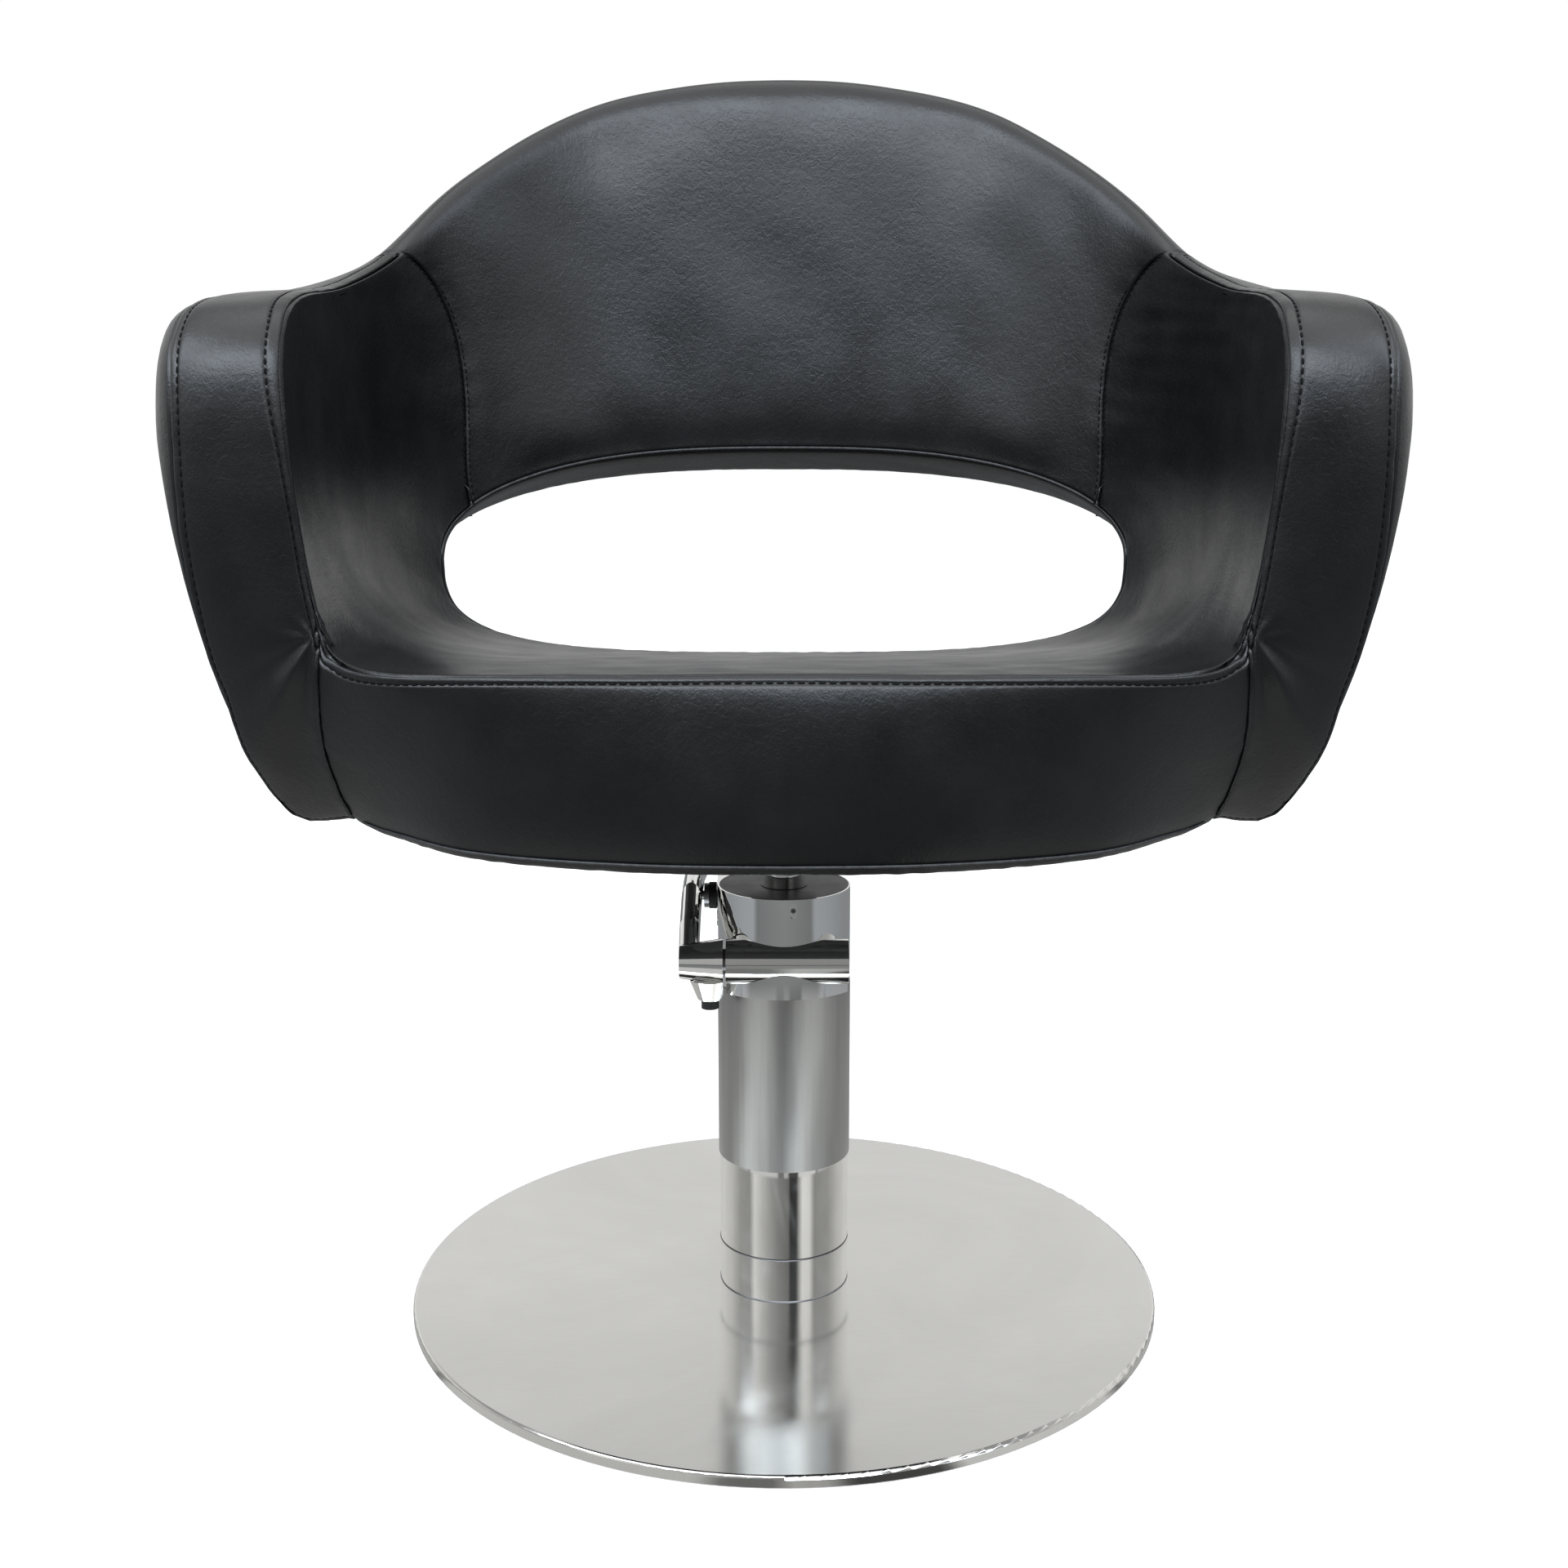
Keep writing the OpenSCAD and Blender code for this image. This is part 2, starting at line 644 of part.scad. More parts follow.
module back_frame() {
    color("#9a7f57") tub_block([-panel_u, panel_u], [rim + leaf, liner_start - leaf],
        [frame_from, frame_to], [24, 8, 1], [-panel_skew, panel_skew]);
}

module rear_rail() {
    color("#9a7f57") tub_block([EDGE_STEPS - 4.5, EDGE_STEPS + 4.5],
        [0.84, liner_start - leaf], [0.70, frame_to], [18, 2, 1]);
}

module outer_cover_side() {
    color(leather) tub_block([panel_u + 0.05, 10.6], [rim + leaf, liner_start - leaf],
        [cover_from, 1], [facets_round, 9, 1], [panel_skew, 0]);
}

module outer_cover_left() mirror([1, 0, 0]) outer_cover_side();
module outer_cover_right() outer_cover_side();

module outer_cover_back() {
    color(leather) tub_block([-panel_u, panel_u], [rim + leaf, liner_start - leaf],
        [cover_from, 1], [24, 8, 1], [-panel_skew, panel_skew]);
}

module under_cover() {
    side = EDGE_STEPS - 10.65;
    color("#191919") difference() {
        tub_block([EDGE_STEPS - side, EDGE_STEPS + side], [rim + leaf, liner_start - leaf],
            [0.93, 1], [22, 9, 1]);
        at_plate_bolts() translate([0, 0, seat_bottom_z - 5])
            cylinder(r = board_bolt_r + 1, h = 20, $fn = 32);
    }
}

module opening_liner() {
    color(leather) tub_block([0, 2 * EDGE_STEPS], [liner_start, 1], [0, 1], [60, 1, 2],
        looped = true);
}

floor_pad();
base_plate();
base_cover();
base_bolts();
pump_flange();
column_collar();
lower_tube();
upper_sleeve();
pump_cylinder();
pump_head();
head_cap();
head_set_screw();
guide_bush();
rod_seal();
barrel_bushes();
barrel_plug();
plunger_spring();
plunger();
piston();
piston_rod();
pedal_shaft();
pedal_lever();
clamp_screw();
stop_screw();
stop_bumper();
pump_cam();
pedal_tread();
seat_plate();
plate_bolts();
t_nuts();
seat_board();
under_cover();
seat_pad();
front_pad();
front_piping();
arm_pad_left();
arm_pad_right();
arm_band_left();
arm_band_right();
back_pad();
back_roll();
side_frame_left();
side_frame_right();
back_frame();
rear_rail();
outer_cover_left();
outer_cover_right();
outer_cover_back();
opening_liner();
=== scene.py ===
"""Visual model of a hydraulic styling chair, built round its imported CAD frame."""

import math

import bpy
import numpy as np
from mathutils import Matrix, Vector


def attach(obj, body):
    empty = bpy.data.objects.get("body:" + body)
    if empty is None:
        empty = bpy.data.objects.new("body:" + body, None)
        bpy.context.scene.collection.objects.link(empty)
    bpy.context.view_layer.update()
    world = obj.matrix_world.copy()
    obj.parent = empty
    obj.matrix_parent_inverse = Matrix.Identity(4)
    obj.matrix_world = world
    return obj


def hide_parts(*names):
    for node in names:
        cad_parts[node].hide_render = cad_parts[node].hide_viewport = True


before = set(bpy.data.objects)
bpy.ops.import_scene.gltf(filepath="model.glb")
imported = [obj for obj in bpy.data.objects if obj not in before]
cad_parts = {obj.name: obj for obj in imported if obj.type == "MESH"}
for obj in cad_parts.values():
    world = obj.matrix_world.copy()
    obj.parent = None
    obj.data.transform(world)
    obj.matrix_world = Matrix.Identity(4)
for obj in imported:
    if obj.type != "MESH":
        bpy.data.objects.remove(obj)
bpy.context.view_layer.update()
scene = bpy.context.scene

MM = 0.001

# ------------------------------------------------------------------ camera
SENSOR_WIDTH = 36
FOCAL_LENGTH = 42.84
CAMERA_AT = (0, -1.310, 0.6475)
CAMERA_TILT = 78.685
CLIP_FROM, CLIP_TO = 0.05, 60
camera_data = bpy.data.cameras.new("camera")
camera_data.sensor_width = SENSOR_WIDTH
camera_data.lens = FOCAL_LENGTH
camera_data.clip_start, camera_data.clip_end = CLIP_FROM, CLIP_TO
camera = bpy.data.objects.new("camera", camera_data)
camera.location = CAMERA_AT
camera.rotation_euler = (math.radians(CAMERA_TILT), 0, 0)
scene.collection.objects.link(camera)
scene.camera = camera


# ------------------------------------------------------------------ materials
class Tree:
    """A node tree, with short calls for the nodes used here."""

    def __init__(self, owner):
        owner.use_nodes = True
        self.tree = owner.node_tree

    def add(self, kind, **settings):
        node = self.tree.nodes.new(kind)
        for key, value in settings.items():
            setattr(node, key, value)
        return node

    def link(self, source, target):
        if isinstance(source, (int, float, tuple)):
            target.default_value = source
        else:
            self.tree.links.new(source, target)

    def math(self, operation, a, b=0.0, clamp=False):
        node = self.add("ShaderNodeMath", operation=operation, use_clamp=clamp)
        self.link(a, node.inputs[0])
        self.link(b, node.inputs[1])
        return node.outputs[0]

    def ramp(self, value, low, high, start=0.0, end=1.0):
        node = self.add("ShaderNodeMapRange")
        self.link(value, node.inputs["Value"])
        for key, number in (("From Min", start), ("From Max", end), ("To Min", low),
                            ("To Max", high)):
            node.inputs[key].default_value = number
        return node.outputs["Result"]

    def colours(self, value, *stops):
        node = self.add("ShaderNodeValToRGB")
        self.link(value, node.inputs["Fac"])
        ramp = node.color_ramp
        while len(ramp.elements) < len(stops):
            ramp.elements.new(0.5)
        for element, (position, colour) in zip(ramp.elements, stops):
            element.position = position
            element.color = (*colour, 1)
        return node.outputs["Color"]

    def split(self, vector):
        node = self.add("ShaderNodeSeparateXYZ")
        self.link(vector, node.inputs[0])
        return node.outputs

    def bearing(self, parts):
        """Angle round the vertical in radians, 0 to the front and growing towards +X."""
        return self.math("ARCTAN2", parts["X"], self.math("MULTIPLY", parts["Y"], -1.0))

    def around(self, bearing, *stops):
        """Colours by bearing, with stops in degrees."""
        share = self.math("ADD", self.math("DIVIDE", bearing, 2 * math.pi), 0.5)
        return self.colours(share, *[(degrees / 360 + 0.5, colour) for degrees, colour in stops])

    def mix(self, kind, share, a, b):
        """The first output of a mix node; its inputs are share, a and b in that order."""
        node = self.add(kind)
        names = ("Factor", "A", "B") if kind == "ShaderNodeMix" else (0, 1, 2)
        for name, value in zip(names, (share, a, b)):
            self.link(value, node.inputs[name])
        return node.outputs[0]


class Nodes(Tree):
    """A material's node tree, round its Principled shader."""

    def __init__(self, name):
        self.material = bpy.data.materials.new(name)
        super().__init__(self.material)
        self.shader = self.tree.nodes["Principled BSDF"]
        self.place = self.add("ShaderNodeTexCoord").outputs["Object"]

    def scaled(self, size, vector=None):
        node = self.add("ShaderNodeMapping")
        node.inputs["Scale"].default_value = size
        self.link(vector or self.place, node.inputs["Vector"])
        return node.outputs["Vector"]

    def noise(self, scale, detail=3, rough=0.55, vector=None, distortion=0.0):
        node = self.add("ShaderNodeTexNoise")
        self.link(vector or self.place, node.inputs["Vector"])
        node.inputs["Scale"].default_value = scale
        node.inputs["Detail"].default_value = detail
        node.inputs["Roughness"].default_value = rough
        node.inputs["Distortion"].default_value = distortion
        return node.outputs["Fac"]

    def cells(self, scale, feature="F1", vector=None):
        node = self.add("ShaderNodeTexVoronoi", feature=feature)
        self.link(vector or self.place, node.inputs["Vector"])
        node.inputs["Scale"].default_value = scale
        return node.outputs["Distance"]

    def wave(self, kind, direction, scale, vector=None, **inputs):
        node = self.add("ShaderNodeTexWave", wave_type=kind)
        setattr(node, kind.lower() + "_direction", direction)
        node.inputs["Scale"].default_value = scale
        for key, value in inputs.items():
            node.inputs[key.replace("_", " ")].default_value = value
        self.link(vector or self.place, node.inputs["Vector"])
        return node.outputs["Fac"]

    def bump(self, height, distance, strength=1.0, normal=None):
        node = self.add("ShaderNodeBump")
        self.link(height, node.inputs["Height"])
        node.inputs["Distance"].default_value = distance
        node.inputs["Strength"].default_value = strength
        if normal is not None:
            self.link(normal, node.inputs["Normal"])
        return node.outputs["Normal"]

    def set(self, **values):
        names = {"colour": "Base Color", "metallic": "Metallic", "rough": "Roughness",
                 "normal": "Normal", "specular": "Specular IOR Level",
                 "sheen": "Sheen Weight", "sheen_rough": "Sheen Roughness"}
        for key, value in values.items():
            self.link(value, self.shader.inputs[names[key]])
        return self.material


def leather_material():
    """Black leather: warped pebble grain, pores, creases and a soft unevenness."""
    n = Nodes("black_leather")
    warped = n.add("ShaderNodeVectorMath", operation="ADD")
    wobble = n.add("ShaderNodeTexNoise")
    wobble.inputs["Scale"].default_value = 160
    wobble_small = n.add("ShaderNodeVectorMath", operation="SCALE")
    wobble_small.inputs["Scale"].default_value = 0.0022
    n.link(n.place, wobble.inputs["Vector"])
    n.link(wobble.outputs["Color"], wobble_small.inputs[0])
    n.link(n.place, warped.inputs[0])
    n.link(wobble_small.outputs[0], warped.inputs[1])
    where = warped.outputs[0]
    pebble = n.ramp(n.cells(820, "SMOOTH_F1", where), 0, 1, 0.05, 0.75)
    pore = n.ramp(n.cells(1500, "F1", where), 0, 1, 0.0, 0.35)
    crease = n.ramp(n.noise(210, 4, 0.6, distortion=0.8), 0, 1, 0.42, 0.58)
    folds = n.noise(330, 3, 0.6, n.scaled((1, 1, 0.6)), 1.2)
    soft = n.noise(26, 3, 0.5)
    fine = n.bump(n.math("ADD", n.math("MULTIPLY", pebble, -0.7),
                         n.math("MULTIPLY", pore, 0.3)), 0.00007, 0.75)
    creased = n.bump(n.math("ADD", n.math("MULTIPLY", crease, 0.5), folds), 0.00022, 0.5, fine)
    normal = n.bump(soft, 0.0012, 0.35, creased)
    tone = n.math("ADD", n.math("MULTIPLY", soft, 0.55), n.math("MULTIPLY", n.noise(7, 4), 0.45))
    colour = n.colours(tone, (0.30, (0.0022, 0.0024, 0.0027)), (0.52, (0.0034, 0.0037, 0.0041)),
                       (0.72, (0.0050, 0.0053, 0.0059)))
    rough = n.math("ADD", n.ramp(soft, 0.30, 0.38, 0.3, 0.7), n.math("MULTIPLY", pebble, 0.05))
    return n.set(colour=colour, rough=rough, normal=normal, specular=0.40)


def welt_material():
    """The raw, slightly rubbed edge of a folded leather welt."""
    n = Nodes("rubbed_welt")
    rub = n.noise(240, 4, 0.6)
    colour = n.colours(rub, (0.3, (0.014, 0.0145, 0.015)), (0.7, (0.045, 0.046, 0.048)))
    return n.set(colour=colour, rough=n.ramp(rub, 0.45, 0.62), specular=0.4,
                 normal=n.bump(n.cells(1200), 0.00008, 0.6))


def thread_material():
    """Twisted sewing thread."""
    n = Nodes("black_thread")
    twist = n.wave("BANDS", "DIAGONAL", 900)
    fuzz = n.noise(2600, 2)
    colour = n.colours(fuzz, (0.3, (0.0020, 0.0020, 0.0022)), (0.7, (0.0048, 0.0048, 0.0050)))
    return n.set(colour=colour, rough=n.ramp(fuzz, 0.7, 0.9), specular=0.12,
                 normal=n.bump(twist, 0.0001, 0.7))


def polished_material(name, tone, rough):
    """Bright plated metal, with faint wipe marks and polishing lines."""
    n = Nodes(name)
    smear = 0.35
    lines = n.noise(6, 6, 0.7, n.scaled((22, 22, 420)))
    wipe = n.noise(9, 5, 0.6, distortion=1.6)
    spots = n.ramp(n.noise(700, 2), 0, 1, 0.66, 0.72)
    dull = tuple(t * 0.90 for t in tone)
    colour = n.colours(wipe, (0.25, dull), (0.75, tone))
    roughness = n.math("ADD", n.ramp(wipe, rough * (1 - smear), rough * (1 + smear), 0.3, 0.7),
                       n.math("MULTIPLY", spots, 0.06))
    normal = n.bump(n.math("ADD", n.math("MULTIPLY", lines, 0.5), n.math("MULTIPLY", wipe, 0.5)),
                    0.000012, 0.3)
    return n.set(colour=colour, metallic=1.0, rough=roughness, normal=normal)


def disc_material():
    """Stainless sheet: fine grinding lines across, with long curved wipe marks."""
    n = Nodes("brushed_disc")
    lines = n.noise(3, 5, 0.75, n.scaled((14, 900, 14)))
    shift = n.add("ShaderNodeMapping")
    shift.inputs["Location"].default_value = (0.32, 0.18, 0)
    shift.inputs["Scale"].default_value = (1.0, 1.6, 1.0)
    n.link(n.place, shift.inputs["Vector"])
    arcs = n.wave("RINGS", "SPHERICAL", 5.2, shift.outputs["Vector"], Distortion=6.5, Detail=4,
                  Detail_Scale=1.4)
    cloud = n.noise(4.5, 5, 0.6, distortion=1.2)
    smears = n.math("MULTIPLY", arcs, n.ramp(cloud, 0, 1, 0.42, 0.66), True)
    tone = n.math("ADD", n.math("MULTIPLY", lines, 0.35), n.math("MULTIPLY", cloud, 0.65))
    colour = n.colours(tone, (0.3, (0.61, 0.605, 0.585)), (0.7, (0.72, 0.715, 0.695)))
    rough = n.math("ADD", n.ramp(lines, 0.07, 0.12, 0.3, 0.7), n.math("MULTIPLY", smears, 0.07))
    normal = n.bump(n.math("ADD", lines, n.math("MULTIPLY", smears, 0.4)), 0.00003, 0.4)
    return n.set(colour=colour, metallic=1.0, rough=rough, normal=normal)


def sleeve_material():
    """Satin metal sleeve with a flowing figure in its sheen."""
    n = Nodes("satin_sleeve")
    figure = n.wave("BANDS", "X", 7, n.scaled((1, 1, 0.22)), Distortion=7, Detail=4,
                    Detail_Scale=1.1)
    streaks = n.noise(260, 3, 0.6, n.scaled((1, 1, 0.03)))
    flow = n.math("ADD", n.math("MULTIPLY", figure, 0.62),
                  n.math("MULTIPLY", streaks, 0.38))
    grit = n.noise(900, 3, vector=n.scaled((1, 1, 0.2)))
    colour = n.colours(flow, (0.2, (0.36, 0.36, 0.35)), (0.5, (0.47, 0.47, 0.455)),
                       (0.8, (0.62, 0.62, 0.60)))
    rough = n.math("ADD", n.ramp(flow, 0.30, 0.46), n.math("MULTIPLY", grit, 0.06))
    normal = n.bump(n.math("ADD", n.math("MULTIPLY", flow, 0.6), n.math("MULTIPLY", grit, 0.2)),
                    0.00012, 0.5)
    return n.set(colour=colour, metallic=1.0, rough=rough, normal=normal)


def plain_metal(name, dark, light, rough):
    """Turned or plated metal with a blotchy tone."""
    n = Nodes(name)
    turned = n.noise(5, 4, 0.6, n.scaled((60, 60, 700)))
    blotch = n.noise(38, 4, 0.6)
    colour = n.colours(blotch, (0.3, dark), (0.7, light))
    roughness = n.math("ADD", n.ramp(blotch, rough - 0.07, rough + 0.07, 0.3, 0.7),
                       n.math("MULTIPLY", turned, 0.05))
    return n.set(colour=colour, metallic=1.0, rough=roughness,
                 normal=n.bump(turned, 0.00008, 0.4))


def painted_material():
    """Powder coat with a fine orange peel and a little dust."""
    n = Nodes("painted_black")
    peel = n.noise(420, 3)
    dust = n.noise(18, 5, 0.65)
    colour = n.colours(dust, (0.35, (0.016, 0.016, 0.017)), (0.75, (0.034, 0.034, 0.036)))
    return n.set(colour=colour, rough=n.ramp(dust, 0.32, 0.5, 0.3, 0.7), specular=0.5,
                 normal=n.bump(peel, 0.00012, 0.5))


def moulded_material(name, dark, light, rough, grain):
    """Moulded plastic or rubber with a fine grain."""
    n = Nodes(name)
    fine = n.noise(1300, 3)
    broad = n.noise(30, 4, 0.6)
    colour = n.colours(broad, (0.3, dark), (0.7, light))
    return n.set(colour=colour, specular=0.45,
                 rough=n.math("ADD", n.ramp(broad, rough - 0.06, rough + 0.06, 0.3, 0.7),
                              n.math("MULTIPLY", fine, 0.06)),
                 normal=n.bump(fine, grain, 0.6))


def plywood_material():
    """Bare plywood, with plies at its edges and a long grain."""
    n = Nodes("plywood")
    plies = n.wave("BANDS", "Z", 110, Distortion=0.6)
    grain = n.noise(9, 6, 0.65, n.scaled((6, 60, 60)))
    tone = n.math("ADD", n.math("MULTIPLY", grain, 0.7),
                  n.math("MULTIPLY", plies, 0.3))
    colour = n.colours(tone, (0.25, (0.30, 0.19, 0.10)), (0.5, (0.47, 0.33, 0.19)),
                       (0.8, (0.60, 0.45, 0.28)))
    return n.set(colour=colour, rough=n.ramp(grain, 0.55, 0.75), normal=n.bump(tone, 0.0003, 0.6))


def dust_cloth_material():
    """Thin felted cloth, pressed in small cells."""
    n = Nodes("dust_cloth")
    fibres = n.noise(1500, 3, 0.7, distortion=2.0)
    press = n.cells(420)
    colour = n.colours(fibres, (0.3, (0.010, 0.010, 0.010)), (0.7, (0.028, 0.028, 0.029)))
    return n.set(colour=colour, rough=n.ramp(fibres, 0.8, 0.95), specular=0.25, sheen=0.3,
                 sheen_rough=0.6, normal=n.bump(n.math("ADD", fibres, press), 0.00025, 0.7))


LEATHER = leather_material()
WELT = welt_material()
THREAD = thread_material()
CHROME = polished_material("chrome", (0.82, 0.82, 0.805), 0.03)
BRUSHED = disc_material()
SLEEVE = sleeve_material()
STEEL = plain_metal("dark_steel", (0.16, 0.16, 0.165), (0.27, 0.27, 0.275), 0.36)
SPRING = plain_metal("spring_steel", (0.30, 0.30, 0.31), (0.44, 0.44, 0.45), 0.28)
BRONZE = plain_metal("bronze", (0.34, 0.22, 0.10), (0.52, 0.36, 0.17), 0.34)
PAINT = painted_material()
PLASTIC = moulded_material("black_plastic", (0.010, 0.010, 0.011), (0.020, 0.020, 0.021), 0.40,
                           0.00005)
RUBBER = moulded_material("rubber", (0.013, 0.013, 0.013), (0.028, 0.028, 0.027), 0.68, 0.00012)
PLYWOOD = plywood_material()
DUST_CLOTH = dust_cloth_material()

NODE_MATERIALS = {
    RUBBER: ["floor_pad", "stop_bumper", "pedal_tread", "rod_seal"],
    STEEL: ["base_plate", "pump_flange", "pump_cylinder", "pump_cam", "pedal_shaft",
            "stop_screw", "head_set_screw", "piston"],
    BRUSHED: ["base_cover"],
    CHROME: ["column_collar", "lower_tube", "pump_head", "barrel_plug", "piston_rod",
             "pedal_lever"],
    SLEEVE: ["upper_sleeve"],
    PAINT: ["seat_plate", "base_bolts", "plate_bolts", "clamp_screw"],
    SPRING: ["plunger_spring", "plunger", "t_nuts"],
    BRONZE: ["guide_bush", "barrel_bushes"],
    PLASTIC: ["head_cap"],
    PLYWOOD: ["seat_board", "side_frame_left", "side_frame_right", "back_frame", "rear_rail"],
}
for material, names in NODE_MATERIALS.items():
    for name in names:
        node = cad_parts[name]
        node.data.materials.clear()
        node.data.materials.append(material)

# ------------------------------------------------------------------ tub surfaces, in mm
# The tub's free edge runs from the back's top centre (step 0), over the arm and round its
# front (steps 3 to 9), to the middle of the seat's front edge (step 15).
STEPS = 15
FRONT_Z, FLOOR_Z = 500, 380
INNER_EDGE = np.array([
    (0, 264, 897), (-140, 250, 880), (-234, 194, 823), (-284, 122, 761), (-300, 10, 731),
    (-299, -120, 717), (-296, -175, 695), (-294, -193, 650), (-286, -191, 560),
    (-278, -192, 511), (-271, -198, 502), (-256, -210, 497), (-226, -228, 496),
    (-165, -243, 498), (-85, -250, 499), (0, -252, FRONT_Z)], float)
OUTER_EDGE = np.array([
    (0, 299, 885), (-150, 284, 869), (-255, 222, 808), (-316, 138, 743), (-350, 10, 722),
    (-360, -120, 714), (-362, -172, 693), (-361, -191, 650), (-361, -187, 566),
    (-353.5, -168, 492), (-339, -140, 428), (-320, -104, FLOOR_Z + 3), (-258, -137, FLOOR_Z),
    (-190, -205, FLOOR_Z), (-95, -240, FLOOR_Z), (0, -247, FLOOR_Z)], float)
# Bowls: centre, half width, half depth, depth below centre, plan power, profile power,
# lean, floor slope, taper towards the floor
INNER_BOWL = ((0, 0, 630), 296, 238, 152, 2.7, 6, 0.10, 0.10, 0)
OUTER_BOWL = ((0, -180, 660), 383, 468, 280, 2.5, 8, 0.06, 0, 0.16)
# Ovals: half width, half height, centre height, depth at top, sides and bottom
INNER_OVAL = (260, 77.5, 536, 238, 135, 176)
OUTER_OVAL = (285, 78.5, 518.5, 285, 180, 233)
# Share of the way from the free edge to the opening at which its lining takes over
LINING_START = 0.984
# The rim's height over its two edges: everywhere, more towards both ends, more at the back's
# top, and less over the arm's top, where ARM_TOP and ARM_SPAN are steps along the edge
RIM_HEIGHT, RIM_ENDS, RIM_CROWN, RIM_DIP = 7, 8, 5, 4.5
CROWN_SPAN, ARM_TOP, ARM_SPAN = 1.3, 4.7, 1.2
# Lift of the lower edge where the arm's end meets the front cushion
LIFT, LIFT_STEP, LIFT_SPAN = 8.0, 11.62, 0.24
COLUMN_RADIUS = 47.5
COLLAR_TOP = 41
COVER_TOP = 8.8
FLIP_X = np.array([-1.0, 1.0, 1.0])


def curve(edge, u):
    """Point of an edge at step u, on a uniform Catmull-Rom curve."""
    i = np.clip(np.floor(u).astype(int), 0, STEPS - 1)
    t = (u - i)[..., None]
    row = np.vstack([edge[1] * FLIP_X, edge, edge[-2] * FLIP_X])
    a, b, c, d = row[i], row[i + 1], row[i + 2], row[i + 3]
    return 0.5 * (2 * b + (c - a) * t + (2 * a - 5 * b + 4 * c - d) * t**2
                  + (3 * b - a - 3 * c + d) * t**3)


TAPER_TOP, TAPER_REACH = 640, 255


def level(p, bowl):
    """Level of a bowl's field at points p; 1 is the bowl itself."""
    centre, width, depth, drop, plan_n, side_n, lean, slope, taper = bowl
    x, y, z = (p[..., k] - centre[k] for k in range(3))
    k = 1 - taper * (np.maximum(TAPER_TOP - p[..., 2], 0) / TAPER_REACH) ** 1.6
    plan = (np.abs(x / (width * k)) ** plan_n
            + (np.maximum(y - lean * np.maximum(z, 0), 0) / (depth * k)) ** plan_n)
    low = np.abs(np.minimum(z + slope * y, 0)) / drop
    return (plan ** (side_n / plan_n) + low**side_n) ** (1 / side_n)


def on(p, bowl):
    """Points moved to the bowl along lines from its centre."""
    centre = np.array(bowl[0], float)
    q = p
    for _ in range(5):
        q = centre + (q - centre) / np.maximum(level(q, bowl), 1e-6)[..., None]
    return q


def oval(u, shape):
    """Point of the opening's edge at step u, from its top round to its bottom."""
    width, height, z, top, side, bottom = shape
    angle = np.radians(90 - 180 * (1 - (1 - u / STEPS) ** 1.4))
    rise = np.sin(angle)
    across = np.where(rise > 0, 0.77, 0.62)
    up = np.where(rise > 0, 0.83, 0.62)
    y = side + (top - side) * np.maximum(rise, 0) ** 1.3
    y = y + (bottom - side) * np.maximum(-rise, 0) ** 2
    z = z + height * (np.sign(rise) * np.abs(rise) ** up)
    return np.stack([-width * np.abs(np.cos(angle)) ** across, y, z], -1)


def face(u, s, edge, shape, bowl, settle):
    """Tub surface at share s of the way from its free edge to the opening."""
    a, b = curve(edge, u), oval(u, shape)
    s = s[..., None]
    return (on(a + (b - a) * s, bowl) - (on(a, bowl) - a) * (1 - s) ** settle
            - (on(b, bowl) - b) * s**4)


def raised(points, u, share):
    """Lift the lower edge a little where the arm's end meets the front cushion."""
    points[..., 2] += LIFT * np.exp(-(((u - LIFT_STEP) / LIFT_SPAN) ** 2)) * share
    return points


def inner(u, s):
    return face(u, s, INNER_EDGE, INNER_OVAL, INNER_BOWL, 4)


def outer(u, s):
    return raised(face(u, s, OUTER_EDGE, OUTER_OVAL, OUTER_BOWL, 24), u, (1 - s) ** 10)


def rim(u, v):
    """The padded edge, from the inner seam (v = 0) to the outer seam (v = 1)."""
    a, b = curve(INNER_EDGE, u), curve(OUTER_EDGE, u)
    lo, hi = np.clip(u - 0.02, 0, STEPS), np.clip(u + 0.02, 0, STEPS)
    along = (curve(INNER_EDGE, hi) - curve(INNER_EDGE, lo)
             + curve(OUTER_EDGE, hi) - curve(OUTER_EDGE, lo))
    up = np.cross(b - a, along)
    up /= np.linalg.norm(up, axis=-1, keepdims=True) + 1e-9
    height = (RIM_HEIGHT + RIM_ENDS * np.abs(2 * u / STEPS - 1) ** 2.5
              + RIM_CROWN * np.exp(-((u / CROWN_SPAN) ** 2))
              - RIM_DIP * np.exp(-(((u - ARM_TOP) / ARM_SPAN) ** 2)))
    swell = height * np.sqrt(np.clip(1 - np.abs(2 * v - 1) ** 2.6, 0, 1))
    return raised(a + (b - a) * v[..., None] + up * swell[..., None], u, v**4)


def sided(x, points):
    """Points of the half with x below 0, mirrored where x is above 0."""
    points = points.copy()
    points[..., 0] *= np.where(x > 0, -1, 1)
    return points


# ------------------------------------------------------------------ sewn panels
# Ways to finish an edge: distances of its rows of nodes, and where its topstitch runs.
TURN = [0, 0.4, 0.8, 1.3, 1.9, 2.6, 3.5]
SEAM = (TURN + [5, 7, 9.5, 13], None)
STITCHED = (TURN + [4.6, 5.6, 6.2, 6.7, 7.1, 7.5, 8.0, 8.8, 10.2, 12, 14.5], 7.1)
WIDE_STITCHED = (TURN + [5, 6.8, 8, 8.6, 9.1, 9.6, 10.1, 10.7, 11.8, 13.4, 16], 9.6)
FREE = ([0], None)
TURN_RADIUS = 3.2
PITCH = 6.0


